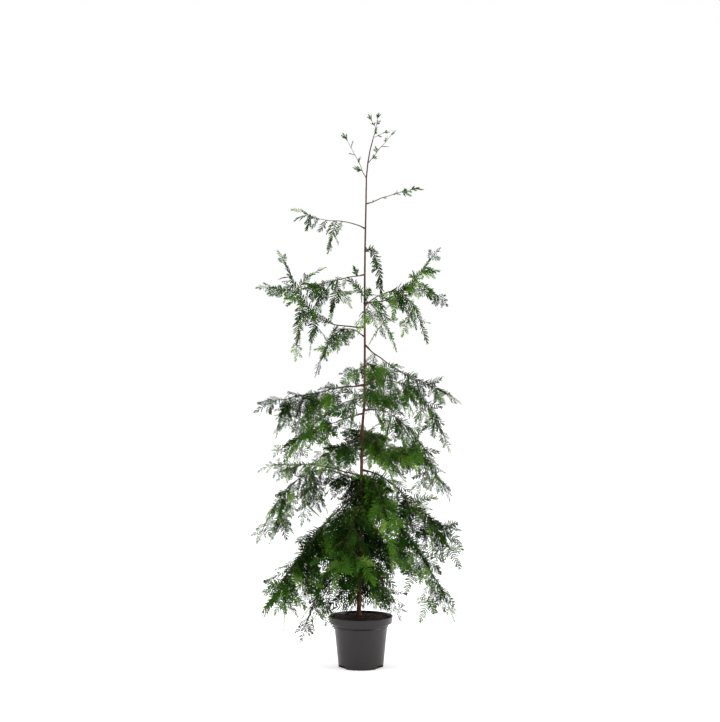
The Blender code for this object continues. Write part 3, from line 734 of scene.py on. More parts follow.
# leafy twigs along a stem: some stand to its sides, others hang and fill the room under it
leafy = {
    "from": 0.12,            # where along a bough they begin
    "later": {"left_2": 0.76, "left_4": 0.20, "left_12": 0.34, "right_13": 0.30, "right_12": 0.22},
    "forkFrom": 0.05,
    "to": 0.97,
    "points": 12,
    "lookAhead": 0.02,
    "leastSpray": 0.029,     # a bough with shorter sprays has none
    "pitch": 0.0125,
    "pitchStray": 0.45,
    "sparserFrom": (1.05, 0.78),
    "sparser": (1.3, 1.05),  # how much farther apart from the heights above upwards
    "denser": 0.76,          # and how much closer under them
    "hanging": 0.52,         # the share of them that hang
    "hangingFan": (45, 88),
    "hangingDip": (30, 90),
    "hangingSize": (0.50, 1.00),
    "standingFan": (38, 78),
    "standingDip": (-65, 35),
    "standingSpray": 0.35,   # the share of the others that are sprays, not feathers
    "standingSmaller": 0.7,
    "featherSize": (0.30, 0.62),
    "taper": 0.3,
    "longSpray": 0.12,       # with sprays as long as this a bough is one of the longest, low ones
    "single": 0.72,          # of their twigs, the share that is one large feather
    "singleNeedle": 0.30,
    "singleSize": (0.55, 0.95),
}


def leafyStem(bough, route, first, last, dice):
    points = stretch(route, first, last, leafy["points"])
    length = sum((b - a).length for a, b in zip(points, points[1:]))
    heights = zip(leafy["sparserFrom"], leafy["sparser"])
    pitch = next((share for height, share in heights if bough.root > height), leafy["denser"])
    count = max(1, int(length / (leafy["pitch"] * pitch) * fullness.get(bough.name, 1)))
    lit = litBoughs.get(bough.name, 0)
    stray = leafy["pitchStray"]
    for i in range(count):
        share = first + (last - first) * (i + 0.5 + dice.uniform(-stray, stray)) / count
        here = route(share)
        near = leafy["lookAhead"]
        ahead = (route(min(share + near, 1)) - route(share - near)).normalized()
        hanging = dice.random() < leafy["hanging"]
        fan = math.radians(dice.uniform(*leafy["hangingFan" if hanging else "standingFan"]))
        dip = math.radians(dice.uniform(*leafy["hangingDip" if hanging else "standingDip"]))
        course = sprayCourse(turnedOff(ahead, fan, dip, 1 if i % 2 else -1), bough.droop)
        flat = spraySide(course, math.radians(dice.uniform(0, 360)))
        size = bough.spray * (1 - leafy["taper"] * share)
        if bough.spray >= leafy["longSpray"] and dice.random() < leafy["single"]:
            length = size * dice.uniform(*leafy["singleSize"])
            tone = toneAndPaintedShadeAt(dice, here + course * length / 2, lit=lit)
            addFeather(here, course, flat, length, dice, tone, leafy["singleNeedle"])
        elif hanging or dice.random() < leafy["standingSpray"]:
            smaller = 1 if hanging else leafy["standingSmaller"]
            length = size * dice.uniform(*leafy["hangingSize"]) * smaller
            addSpray(here, course, flat, length, dice, lit=lit)
        else:
            length = bough.spray * dice.uniform(*leafy["featherSize"])
            tone = toneAndPaintedShadeAt(dice, here + course * length / 2, lit=lit)
            addFeather(here, course, flat, length, dice, tone)


# needles on a stem itself, in two ranks, or four on the longest boughs
stemNeedles = {
    "from": 0.45,            # where along a bough they begin
    "forkFrom": 0.06,
    "leastSpray": 0.035,     # a bough with shorter sprays has none
    "points": 14,
    "size": 0.24,            # as a share of the spray
    "sizeRange": (0.009, 0.022),
    "lean": 60,
    "fishbone": (0.023, 0.0062, 0.1),  # a fishbone's needles: size, gap, how much darker
    "facing": Vector((0, -3, 0)),  # turns the flat side of a fishbone to the front
}


def needledStem(bough, route, first, last, dice, fishbone):
    points = stretch(route, first, last, stemNeedles["points"])
    ahead = (points[-1] - points[0]).normalized()
    shortest, longest = stemNeedles["sizeRange"]
    needle = min(max(bough.spray * stemNeedles["size"], shortest), longest)
    gap, darker = None, 0
    if fishbone:
        needle, gap, darker = stemNeedles["fishbone"]
    turn = dice.uniform(0, math.tau)
    for quarter in range(2 if bough.spray >= leafy["longSpray"] else 1):
        side = spraySide(ahead, turn + quarter * math.pi / 2)
        if fishbone:
            side = (side - up * side.z + stemNeedles["facing"]).normalized()
        green = greenOf(dice, toneAndPaintedShadeAt(dice, points[len(points) // 2]) - darker)
        addNeedles(green, points, rolled(side, ahead, 90 * quarter), needle, stemNeedles["lean"], gap)


# large feathers and sprays close round the trunk, where the crown is at its densest; their needles come
# out dark from the painted shade that the tones give low in the crown and towards the trunk
inner = {
    "seed": 77,
    "turn": 2.4,             # from one to the next, in radians
    "trunkShows": -0.78,     # none of them grow straight towards the front
    "heights": (0.205, 0.64),
    "count": 124,
    "lower": 1.7,            # how much they gather at the trunk's foot
    "turnStray": 0.5,
    "length": (0.060, 0.125),
    "needle": 0.25,
    "overPot": 11.0,         # how fast their dip may steepen with their height over the pot
    "steepest": 1.3,
    "highest": 0.2,
    "sprayHeights": (0.31, 0.645),
    "sprayCount": 50,
    "sprayTurnStray": 0.3,
    "sprayDip": (-0.9, -0.1),
    "sprayLength": (0.110, 0.175),
}


def innerCourse(dice, number, stray, lowest, highest):
    # a way out from the trunk, and whether it leaves the trunk in sight
    angle = number * inner["turn"] + dice.uniform(-stray, stray)
    course = Vector((math.cos(angle), math.sin(angle), dice.uniform(lowest, highest))).normalized()
    return course, math.sin(angle) >= inner["trunkShows"]


def growInner():
    dice = random.Random(inner["seed"])
    low, high = inner["heights"]
    for i in range(inner["count"]):
        here, _ = trunkAt(low + (high - low) * (i / inner["count"]) ** inner["lower"])
        steepest = min(inner["steepest"], (here.z - rule["potHeight"]) * inner["overPot"])
        course, clear = innerCourse(dice, i, inner["turnStray"], -steepest, inner["highest"])
        if not clear:
            continue
        flat = spraySide(course, dice.uniform(0, math.tau))
        length = dice.uniform(*inner["length"])
        tone = toneAndPaintedShadeAt(dice, here + course * length / 2)
        addFeather(here, course, flat, length, dice, tone, inner["needle"])
    low, high = inner["sprayHeights"]
    for i in range(inner["sprayCount"]):
        here, _ = trunkAt(low + (high - low) * i / inner["sprayCount"])
        course, clear = innerCourse(dice, i, inner["sprayTurnStray"], *inner["sprayDip"])
        if not clear:
            continue
        flat = spraySide(course, dice.uniform(0, math.tau))
        addSpray(here, course, flat, dice.uniform(*inner["sprayLength"]), dice)


# the wood of boughs, their forks and the rule's twigs
wood = {
    "seed": 900,
    "girth": (0.0026, 0.014),      # at the trunk: at least, and for each metre of its spray
    "trunkShare": 0.9,             # and no more than this share of the trunk's own
    "collar": 1.35,                # how much it swells where it leaves the trunk
    "points": 26,
    "thin": 0.00065,               # the radius at its tip
    "forkThick": (0.0009, 0.004),  # a fork's radius: at least, and for each metre of its spray
    "forkPoints": 14,
    "forkThin": 0.00055,
    "taper": 1.1,
    "twigRadii": (0.0013, 0.0011, 0.0009),
    "twigArch": 0.002,
    "twigFeathers": 3,
    "twigFeathersAt": (0.1, 0.9),
    "twigFan": (40, 78),
    "twigDip": (-60, 80),
    "twigFeatherSize": (0.3, 0.52),
}


def growStem(bough, number, n, route, dice):
    # the bough itself, when n is 0, or one of its forks
    line = lambda share: strayed(route(share), number, 1 if n else max(share, 0))
    if n:
        least, share = wood["forkThick"]
        thick, thin, count = least + share * bough.spray, wood["forkThin"], wood["forkPoints"]
    else:
        least, share = wood["girth"]
        girth = bough.girth or least + share * bough.spray
        thick = min(girth, 2 * trunkAt(bough.root)[1] * wood["trunkShare"]) / 2
        thin, count = wood["thin"], wood["points"]
    points = stretch(line, 0, 1, count)
    radii = [thin + (thick - thin) * (1 - i / (count - 1)) ** wood["taper"] for i in range(count)]
    if n == 0 and bough.root < trunkRows[-1][0]:
        radii[0] = radii[1] = thick * wood["collar"]
    boughShoots.add(points, girth=radii)
    fishbone = n in fishbones.get(bough.name, ())
    first = leafy["later"].get(bough.name, leafy["from"])
    if bough.spray >= leafy["leastSpray"] and not fishbone:
        leafyStem(bough, line, leafy["forkFrom"] if n else first, leafy["to"], dice)
    if bough.spray >= stemNeedles["leastSpray"]:
        bare = stemNeedles["forkFrom"] if n or fishbone else max(first, stemNeedles["from"])
        needledStem(bough, line, bare, 1, dice, fishbone)


def growTwig(bough, number, twig, dice):
    # one of the rule's twigs, with a few feathers of its own
    start, off, reach, leaves = twig
    end = start + off * reach
    ends = [leaves, leaves.lerp(end, 0.5) + up * wood["twigArch"], end]
    twigShoots.add([strayed(point, number) for point in ends], girth=wood["twigRadii"])
    for _ in range(wood["twigFeathers"]):
        at = strayed(start + off * reach * dice.uniform(*wood["twigFeathersAt"]), number)
        fan = math.radians(dice.uniform(*wood["twigFan"]))
        dip = math.radians(dice.uniform(*wood["twigDip"]))
        course = turnedOff(off, fan, dip, dice.choice((-1, 1)))
        flat = spraySide(course, math.radians(dice.uniform(0, 360)))
        length = bough.spray * dice.uniform(*wood["twigFeatherSize"])
        addFeather(at, course, flat, length, dice, toneAndPaintedShadeAt(dice, at))


def growTree():
    space, taken = allSpaces(), []
    for number, bough in enumerate(boughs):
        dice = random.Random(wood["seed"] + number)
        twigs, sprays = growthOf(number, space, taken)
        for n, (_, route, _) in enumerate(stemsOf(bough)):
            growStem(bough, number, n, route, dice)
        for twig in twigs:
            growTwig(bough, number, twig, dice)
        for start, course, flat, length, leaves in sprays:
            if leaves is not None:
                leaves = strayed(leaves, number)
            lit = litBoughs.get(bough.name, 0)
            addSpray(strayed(start, number), course, flat, length, dice, leaves, lit)
    growInner()


def newTree(name, sockets):
    tree = bpy.data.node_groups.new(name, "GeometryNodeTree")
    tree.interface.new_socket("Geometry", in_out="INPUT", socket_type="NodeSocketGeometry")
    tree.interface.new_socket("Geometry", in_out="OUTPUT", socket_type="NodeSocketGeometry")
    for label, kind in sockets:
        tree.interface.new_socket(label, in_out="INPUT", socket_type="NodeSocket" + kind)
    return tree, tree.nodes.new("NodeGroupInput").outputs, tree.nodes.new("NodeGroupOutput").inputs


def endTree(tree, geometry, given, result):
    coated = addNode(tree, "GeometryNodeSetMaterial",
                     {"Geometry": geometry, "Material": given["Material"]})
    tree.links.new(coated.outputs[0], result[0])
    return tree


fissures = {
    "edge": 0.11,            # how far from the noise's middle value the bark has risen in full
    "ridge": 0.25,           # how far it rises, as a share of how deep the fissures are
    "detail": 3.0,
    "roughness": 0.6,
}


def limbTree():
    # polylines with a girth attribute become bark-covered limbs
    tree, given, result = newTree("bark_covered_limb", (
        ("Sides", "Int"), ("Step", "Float"), ("Fissure depth", "Float"),
        ("Fissure width", "Float"), ("Fissure length", "Float"), ("Material", "Material"),
    ))
    curve = addNode(tree, "GeometryNodeMeshToCurve", {"Mesh": given["Geometry"]})
    evened = addNode(tree, "GeometryNodeResampleCurve",
                     {"Curve": curve, "Length": given["Step"]}, mode="LENGTH")
    girth = addNode(tree, "GeometryNodeInputNamedAttribute", {"Name": "girth"}, data_type="FLOAT")
    ring = addNode(tree, "GeometryNodeCurvePrimitiveCircle",
                   {"Resolution": given["Sides"], "Radius": 1.0})
    limb = addNode(tree, "GeometryNodeCurveToMesh",
                   {"Curve": evened, "Profile Curve": ring, "Scale": girth, "Fill Caps": True})
    # long wandering fissures: where a stretched noise crosses its middle value
    place = addNode(tree, "GeometryNodeInputPosition")
    narrow = addNode(tree, "ShaderNodeMath", {0: 1.0, 1: given["Fissure width"]}, operation="DIVIDE")
    longWay = addNode(tree, "ShaderNodeMath", {0: 1.0, 1: given["Fissure length"]}, operation="DIVIDE")
    scale = addNode(tree, "ShaderNodeCombineXYZ", {0: narrow, 1: narrow, 2: longWay})
    stretched = addNode(tree, "ShaderNodeVectorMath", {0: place, 1: scale}, operation="MULTIPLY")
    bark = addNode(tree, "ShaderNodeTexNoise",
                   {"Vector": stretched, "Scale": 1.0, "Detail": fissures["detail"],
                    "Roughness": fissures["roughness"]})
    centred = addNode(tree, "ShaderNodeMath", {0: bark, 1: 0.5}, operation="SUBTRACT")
    folded = addNode(tree, "ShaderNodeMath", {0: centred}, operation="ABSOLUTE")
    fissure = addNode(tree, "ShaderNodeMapRange",
                      {"Value": folded, "From Min": 0.0, "From Max": fissures["edge"],
                       "To Min": -1.0, "To Max": fissures["ridge"]})
    depth = addNode(tree, "ShaderNodeMath", {0: fissure, 1: given["Fissure depth"]},
                    operation="MULTIPLY")
    swell = addNode(tree, "ShaderNodeMath", {0: depth, 1: girth}, operation="MULTIPLY")
    outward = addNode(tree, "GeometryNodeInputNormal")
    push = addNode(tree, "ShaderNodeVectorMath", {0: outward, 3: swell}, operation="SCALE")
    carved = addNode(tree, "GeometryNodeSetPosition", {"Geometry": limb, "Offset": push})
    smooth = addNode(tree, "GeometryNodeSetShadeSmooth", {"Geometry": carved})
    return endTree(tree, smooth, given, result)


needleShape = {
    "width": 0.0028,
    "widerBy": 0.035,        # of its length
    "thickness": 0.4,        # of its width
    "lowered": 0.10,
    "tipLean": 0.36,         # of the lean at the feather's foot
    "leanFrom": 0.25,        # where along the feather it begins to change
    "stray": 0.27,
    "longFrom": 0.0155,      # needles of this length and more have two rings of corners
    "outline": ((0.0, 0.42), (0.12, 0.80), (0.38, 1.0), (0.72, 0.86), (1.0, 0.52)),
    "shortRings": ((0.30, 1.0),),
    "longRings": ((0.10, 0.9), (0.68, 0.9)),
}


def needleTree():
    # two rows of flat needles beside each midrib, shorter at both ends, leaning to the tip
    tree, given, result = newTree("two_ranked_needles", (
        ("Short needle", "Object"), ("Long needle", "Object"), ("Long from", "Float"),
        ("Width", "Float"), ("Wider by", "Float"), ("Tip lean", "Float"), ("Stray", "Float"),
        ("Material", "Material"),
    ))
    curve = addNode(tree, "GeometryNodeMeshToCurve", {"Mesh": given["Geometry"]})
    kinds = {"gap": "FLOAT", "needle": "FLOAT", "lean": "FLOAT", "flat": "FLOAT_VECTOR"}
    gap, size, baseLean, flat = (
        addNode(tree, "GeometryNodeInputNamedAttribute", {"Name": name}, data_type=kind)
        for name, kind in kinds.items())
    evened = addNode(tree, "GeometryNodeResampleCurve",
                     {"Curve": curve, "Length": gap}, mode="LENGTH")
    tipLean = addNode(tree, "ShaderNodeMath", {0: baseLean, 1: given["Tip lean"]},
                      operation="MULTIPLY")
    tangent = addNode(tree, "GeometryNodeInputTangent")
    along = addNode(tree, "GeometryNodeSplineParameter")
    across = addNode(tree, "ShaderNodeVectorMath", {0: flat, 1: tangent}, operation="CROSS_PRODUCT")
    evenAcross = addNode(tree, "ShaderNodeVectorMath", {0: across}, operation="NORMALIZE")
    profile = addNode(tree, "ShaderNodeFloatCurve", {"Value": along.outputs["Factor"]})
    corners, outline = profile.mapping.curves[0].points, needleShape["outline"]
    for x, y in outline[1:-1]:
        corners.new(x, y)
    corners[0].location, corners[-1].location = outline[0], outline[-1]
    profile.mapping.update()
    long = addNode(tree, "FunctionNodeCompare", {0: size, 1: given["Long from"]},
                   operation="GREATER_THAN")
    both = addNode(tree, "GeometryNodeJoinGeometry")
    for label in ("Long needle", "Short needle"):
        seen = addNode(tree, "GeometryNodeObjectInfo", {"Object": given[label]})
        one = addNode(tree, "GeometryNodeGeometryToInstance", {0: seen.outputs["Geometry"]})
        tree.links.new(one.outputs[0], both.inputs[0])
    rows = addNode(tree, "GeometryNodeJoinGeometry")
    for number, side in enumerate((-1.0, 1.0)):
        low = addNode(tree, "ShaderNodeMath", {0: given["Stray"], 1: -1.0}, operation="MULTIPLY")
        stray = [addNode(tree, "FunctionNodeRandomValue",
                         {2: low, 3: given["Stray"], "Seed": 10 * number + k},
                         data_type="FLOAT") for k in range(3)]
        lean = addNode(tree, "ShaderNodeMapRange",
                       {"Value": along.outputs["Factor"], "From Min": needleShape["leanFrom"],
                        "From Max": 1.0, "To Min": baseLean, "To Max": tipLean})
        leaning = addNode(tree, "ShaderNodeMath", {0: lean, 1: stray[0].outputs[1]})
        sine = addNode(tree, "ShaderNodeMath", {0: leaning}, operation="SINE")
        cosine = addNode(tree, "ShaderNodeMath", {0: leaning}, operation="COSINE")
        sided = addNode(tree, "ShaderNodeMath", {0: sine, 1: side}, operation="MULTIPLY")
        forth = addNode(tree, "ShaderNodeVectorMath", {0: tangent, 3: cosine}, operation="SCALE")
        out = addNode(tree, "ShaderNodeVectorMath", {0: evenAcross, 3: sided}, operation="SCALE")
        lift = addNode(tree, "ShaderNodeMath", {0: stray[1].outputs[1], 1: needleShape["lowered"]},
                       operation="SUBTRACT")
        rise = addNode(tree, "ShaderNodeVectorMath", {0: flat, 3: lift}, operation="SCALE")
        flatways = addNode(tree, "ShaderNodeVectorMath", {0: forth, 1: out})
        course = addNode(tree, "ShaderNodeVectorMath", {0: flatways, 1: rise})
        turn = addNode(tree, "FunctionNodeAxesToRotation", {0: course, 1: flat},
                       primary_axis="X", secondary_axis="Z")
        vary = addNode(tree, "ShaderNodeMath", {0: stray[2].outputs[1], 1: 1.0})
        full = addNode(tree, "ShaderNodeMath", {0: size, 1: profile}, operation="MULTIPLY")
        length = addNode(tree, "ShaderNodeMath", {0: full, 1: vary}, operation="MULTIPLY")
        wide = addNode(tree, "ShaderNodeMath", {0: size, 1: given["Wider by"], 2: given["Width"]},
                       operation="MULTIPLY_ADD")
        thick = addNode(tree, "ShaderNodeMath", {0: wide, 1: needleShape["thickness"]},
                        operation="MULTIPLY")
        scale = addNode(tree, "ShaderNodeCombineXYZ", {0: length, 1: wide, 2: thick})
        row = addNode(tree, "GeometryNodeInstanceOnPoints",
                      {"Points": evened, "Instance": both, "Pick Instance": True,
                       "Instance Index": long, "Rotation": turn, "Scale": scale})
        tree.links.new(row.outputs[0], rows.inputs[0])
    real = addNode(tree, "GeometryNodeRealizeInstances", {"Geometry": rows})
    return endTree(tree, real, given, result)


def grown(name, data, tree, values):
    # the tree run on this mesh, as a plain mesh
    source = newObject(name + "_plan", data)
    modifier = source.modifiers.new("grow", "NODES")
    modifier.node_group = tree
    for item in tree.interface.items_tree:
        if item.in_out == "INPUT" and item.name in values:
            modifier[item.identifier] = values[item.name]
    bpy.context.view_layer.update()
    graph = bpy.context.evaluated_depsgraph_get()
    made = bpy.data.meshes.new_from_object(source.evaluated_get(graph))
    bpy.data.objects.remove(source)
    for spent in ("girth", "gap", "needle", "flat", "lean"):
        if spent in made.attributes:
            made.attributes.remove(made.attributes[spent])
    piece = newObject(name, made)
    print(name, sum(len(p.vertices) - 2 for p in made.polygons), "triangles")
    return piece


def planMesh(name, lines):
    # a mesh of edges, with the lines' values as attributes
    data = bpy.data.meshes.new(name)
    data.from_pydata(lines.points, lines.edges, [])
    for label, values in lines.values.items():
        kind, slot = ("FLOAT_VECTOR", "vector") if label == "flat" else ("FLOAT", "value")
        attribute = data.attributes.new(label, kind, "POINT")
        attribute.data.foreach_set(slot, np.array(values, dtype=np.float32).ravel())
    return data


def shellMesh(name, points, faces, triangles=False):
    # a closed mesh whose faces point outwards
    data = bpy.data.meshes.new(name)
    data.from_pydata(points, [], faces)
    shape = bmesh.new()
    shape.from_mesh(data)
    bmesh.ops.recalc_face_normals(shape, faces=shape.faces)
    if triangles:
        bmesh.ops.triangulate(shape, faces=shape.faces)
    shape.to_mesh(data)
    shape.free()
    return data


def needleMesh(name, rings):
    # a needle of length and width 1 along +X: flat under, ridged over, pointed at both ends
    points = [(0, 0, 0)]
    for at, wide in rings:
        points += [(at, wide / 2, 0), (at, 0, wide / 2), (at, -wide / 2, 0)]
    points.append((1, 0, 0))
    last = len(points) - 1
    faces = []
    for i in range(3):
        j = (i + 1) % 3
        faces.append((0, 1 + i, 1 + j))
        for ring in range(len(rings) - 1):
            a = 1 + 3 * ring
            faces.append((a + i, a + 3 + i, a + 3 + j, a + j))
        faces.append((last, last - 3 + j, last - 3 + i))
    return shellMesh(name, points, faces, triangles=True)


# Each pattern is noise on Object coordinates, so a scale of 500 is a grain of 2 mm. The stops
# are the first, any between, and the last.
finishes = {
    # fibrous bark of an older stem: dull red-brown, in strips of 2 mm that run up the trunk
    "bark": {
        "name": "fibrous_redwood_bark", "roughness": 0.85, "stretch": (1, 1, 0.16),
        "scale": 500.0, "detail": 5.0, "grain": 0.62,
        "stops": ((0.34, "#2e1a10"), (0.50, "#643a22"), (0.68, "#8a5a38")),
        "bump": 0.6, "bumpDepth": 0.0006,
    },
    # one-year wood: smooth, dark brown, with a faint bloom in spots of 7 mm
    "youngBark": {
        "name": "smooth_young_bark", "roughness": 0.62,
        "scale": 140.0, "detail": 3.0, "grain": 0.5,
        "stops": ((0.35, "#2c2015"), (0.70, "#6b4a30")),
        "bump": 0.4, "bumpDepth": 0.0003,
    },
    # moist peat: near black, fibrous and dull, with brown crumbs of 4 mm
    "peat": {
        "name": "moist_peat", "roughness": 0.92,
        "scale": 260.0, "detail": 6.0, "grain": 0.7,
        "stops": ((0.36, "#0c0705"), (0.74, "#3a2318")),
        "bump": 1.0, "bumpDepth": 0.0012,
    },
    # injection-moulded recycled polypropylene: warm dark grey satin, cloudy over 45 mm, with a
    # fine eggshell skin of 1 mm
    "pot": {
        "name": "moulded_polypropylene",
        "scale": 22.0, "detail": 4.0, "grain": 0.5,
        "stops": ((0.30, "#120b0c"), (0.72, "#1b1213")),
        "skin": (900.0, 2.0), "bump": 0.25, "bumpDepth": 0.0002,
        "specular": 0.42, "glossFrom": (0.3, 0.7), "gloss": (0.30, 0.40),
    },
}
barkAge = {
    "greyScale": 28.0,       # weathered patches of 36 mm
    "greyFrom": (0.45, 0.75),
    "greyest": 0.5,
    "grey": "#8a6a52",
    "youngFrom": (0.75, 1.45),  # between these heights the trunk gets younger and darker
    "youngest": 0.8,
    "young": "#35241a",
}


def patterned(finish):
    # a material whose colour follows a noise, and its relief the same one or a finer skin
    material, tree, shader = newMaterial(finish["name"])
    place = where = addNode(tree, "ShaderNodeTexCoord").outputs["Object"]
    if "stretch" in finish:
        where = addNode(tree, "ShaderNodeMapping",
                        {"Vector": place, "Scale": finish["stretch"]}).outputs[0]
    pattern = relief = addNode(tree, "ShaderNodeTexNoise",
                               {"Vector": where, "Scale": finish["scale"], "Detail": finish["detail"],
                                "Roughness": finish["grain"]})
    tone = addNode(tree, "ShaderNodeValToRGB", {"Fac": pattern})
    first, *between, last = finish["stops"]
    stops = tone.color_ramp.elements
    for stop, (at, colour) in zip(stops, (first, last)):
        stop.position, stop.color = at, linear(colour)
    for at, colour in between:
        stops.new(at).color = linear(colour)
    tree.links.new(tone.outputs[0], shader.inputs["Base Color"])
    if "skin" in finish:
        scale, detail = finish["skin"]
        relief = addNode(tree, "ShaderNodeTexNoise", {"Vector": place, "Scale": scale, "Detail": detail})
    bump = addNode(tree, "ShaderNodeBump", {"Height": relief, "Strength": finish["bump"],
                                            "Distance": finish["bumpDepth"]})
    tree.links.new(bump.outputs[0], shader.inputs["Normal"])
    if "gloss" in finish:
        (low, high), (sleek, matt) = finish["glossFrom"], finish["gloss"]
        gloss = addNode(tree, "ShaderNodeMapRange",
                        {"Value": pattern, "From Min": low, "From Max": high,
                         "To Min": sleek, "To Max": matt})
        tree.links.new(gloss.outputs[0], shader.inputs["Roughness"])
        shader.inputs["Specular IOR Level"].default_value = finish["specular"]
    else:
        shader.inputs["Roughness"].default_value = finish["roughness"]
    return material, tree, shader, place, tone


def agedBark():
    # the bark's finish, greyed in patches and darker where the trunk is young
    material, tree, shader, place, tone = patterned(finishes["bark"])
    patches = addNode(tree, "ShaderNodeTexNoise",
                      {"Vector": place, "Scale": barkAge["greyScale"], "Detail": 3.0})
    height = addNode(tree, "ShaderNodeSeparateXYZ", {0: place})
    colour = tone.outputs[0]
    for value, (low, high), most, other in (
        (patches.outputs[0], barkAge["greyFrom"], barkAge["greyest"], barkAge["grey"]),
        (height.outputs[2], barkAge["youngFrom"], barkAge["youngest"], barkAge["young"]),
    ):
        amount = addNode(tree, "ShaderNodeMapRange",
                         {"Value": value, "From Min": low, "From Max": high, "To Max": most})
        colour = addNode(tree, "ShaderNodeMix", {0: amount, 6: colour, 7: linear(other)},
                         data_type="RGBA").outputs[2]
    tree.links.new(colour, shader.inputs["Base Color"])
    return material


def makeMaterials():
    made = {key: patterned(finishes[key])[0] for key in ("youngBark", "peat", "pot")}
    made["bark"] = agedBark()
    # thin shoots: the twigs dark and matt, the midribs still green
    made["twig"] = newMaterial("dark_fine_twig", Base_Color=linear("#3b2d1d"), Roughness=0.6)[0]
    made["midrib"] = newMaterial("green_midrib", Base_Color=linear("#2e3d16"), Roughness=0.6)[0]
    for name, (colour, _) in greens.items():
        # soft deciduous needles: a dull satin
        made[name] = newMaterial(name.replace("needles", "soft_flat_needle"), Roughness=0.6,
                                 Base_Color=linear(colour), Specular_IOR_Level=0.02)[0]
    return made


pot = {
    "steps": 144, "rimRadius": 0.1055, "height": 0.167, "rimDepth": 0.022, "rimTaper": 0.0035,
    "collarRadius": 0.0905, "collarDepth": 0.013, "wallTop": 0.0875, "footRadius": 0.0735,
    "ledge": 0.001, "wall": 0.0018, "floor": 0.0025, "notches": 3, "notchArc": 40,
    "notchHeight": 0.010, "notchMouth": 1.12, "notchTop": 0.86, "notchRound": 0.004,
    "sharpFrom": 38,
}
rimFoot = pot["height"] - pot["rimDepth"]
collarFoot = rimFoot - pot["collarDepth"]


def turnedMesh(name, profile, steps):
    # a solid of revolution from (radius, height) pairs; a radius of 0 is a pole
    points, rings = [], []
    for radius, height in profile:
        around = steps if radius else 1
        rings.append([len(points) + i for i in range(around)])
        for i in range(around):
            angle = math.tau * i / steps
            points.append((radius * math.cos(angle), radius * math.sin(angle), height))
    faces = []
    for one, two in zip(rings, rings[1:]):
        for i in range(steps):
            j = (i + 1) % steps
            corners = [one[i % len(one)], one[j % len(one)], two[j % len(two)], two[i % len(two)]]
            faces.append(tuple(dict.fromkeys(corners)))
    return shellMesh(name, points, faces)


def potProfile():
    # from the middle of the floor up the inside, over the rim and down the outside
    rim, collar, foot, top = pot["rimRadius"], pot["collarRadius"], pot["footRadius"], pot["height"]
    wall, ledge, taper = pot["wall"], pot["ledge"], pot["rimTaper"]
    return (
        (0, pot["floor"]),
        (foot - wall - 0.003, pot["floor"]),
        (foot - wall, pot["floor"] + 0.003),
        (pot["wallTop"] - wall, collarFoot),
        (collar - wall, rimFoot + wall),
        (rim - taper - wall, rimFoot + wall + ledge),
        (rim - wall - ledge, top - 0.0015),
        (rim - wall - 0.0002, top),  # the rolled rim
        (rim - 0.0006, top),
        (rim, top - 0.0009),
        (rim - 0.0008, top - 0.0034),
        (rim - taper * 0.9, rimFoot + 0.0012),
        (rim - taper, rimFoot),
        (rim - taper - 0.0016, rimFoot - 0.0004),
        (collar + 0.0012, rimFoot - ledge * 0.6),  # the collar
        (collar, rimFoot - ledge - 0.0010),
        (collar - ledge * 0.9, collarFoot + 0.0026),
        (collar - ledge * 0.2, collarFoot + 0.0012),
        (collar - ledge * 0.6, collarFoot),
        (pot["wallTop"], collarFoot - ledge),  # the wall, down to the rounded foot
        (foot + 0.0009, 0.0062),
        (foot + 0.0003, 0.0012),
        (foot - 0.0009, 0),
        (0, 0),
    )


def notchCutter(heading):
    # a block with rounded upper edges, wider at its mouth, as the notch leaves the mould
    half = math.radians(pot["notchArc"] / 2)
    inside = pot["footRadius"] * math.cos(half) - 2 * pot["wall"]
    outside = pot["footRadius"] + 2 * pot["wall"]
    width = 2 * pot["footRadius"] * math.sin(half)
    shape = bmesh.new()
    bmesh.ops.create_cube(shape, size=1)
    for vert in shape.verts:
        flare = pot["notchMouth" if vert.co.z < 0 else "notchTop"]
        vert.co = Vector((vert.co.x * (outside - inside), vert.co.y * width * flare,
                          vert.co.z * 2 * pot["notchHeight"]))
    upper = [e for e in shape.edges if all(v.co.z > 0 for v in e.verts)
             and abs(e.verts[0].co.x - e.verts[1].co.x) > 0.001]
    bmesh.ops.bevel(shape, geom=upper, offset=pot["notchRound"], segments=4, affect="EDGES")
    data = bpy.data.meshes.new("notch")
    shape.to_mesh(data)
    shape.free()
    cutter = newObject("notch", data)
    cutter.location = towards(heading) * (inside + outside) / 2
    cutter.rotation_euler.z = math.radians(heading)
    return cutter


def makePot(material):
    piece = newObject("pot_shell", turnedMesh("pot_shell", potProfile(), pot["steps"]), material)
    cutters = [notchCutter(90 + 360 / pot["notches"] * number) for number in range(pot["notches"])]
    for cutter in cutters:
        piece.modifiers.new("cut", "BOOLEAN").object = cutter
    bpy.context.view_layer.update()
    graph = bpy.context.evaluated_depsgraph_get()
    data = bpy.data.meshes.new_from_object(piece.evaluated_get(graph))
    piece.modifiers.clear()
    piece.data = data
    for cutter in cutters:
        bpy.data.objects.remove(cutter)
    data.shade_smooth()
    data.set_sharp_from_angle(angle=math.radians(pot["sharpFrom"]))
    return piece


peat = {
    "steps": 160, "rings": 46, "gap": 0.0026, "foot": 0.0118,
    "radii": (0, 0.034, 0.06), "heights": (0.165, 0.165, 0.161, 0.159),  # the last at its edge
    "roughFrom": 0.155, "roughness": 130, "relief": 0.0016,
    "fractal": (0.8, 2.1, 4),  # its fading, its refining and its octaves
    "crumbs": 26000.0, "crumbSize": (0.0007, 0.0022),
    "crumbSquash": ((0.5, 0.5, 0.4), (1.5, 1.0, 0.8)), "crumbTurn": (6.2, 6.2, 6.2),
}


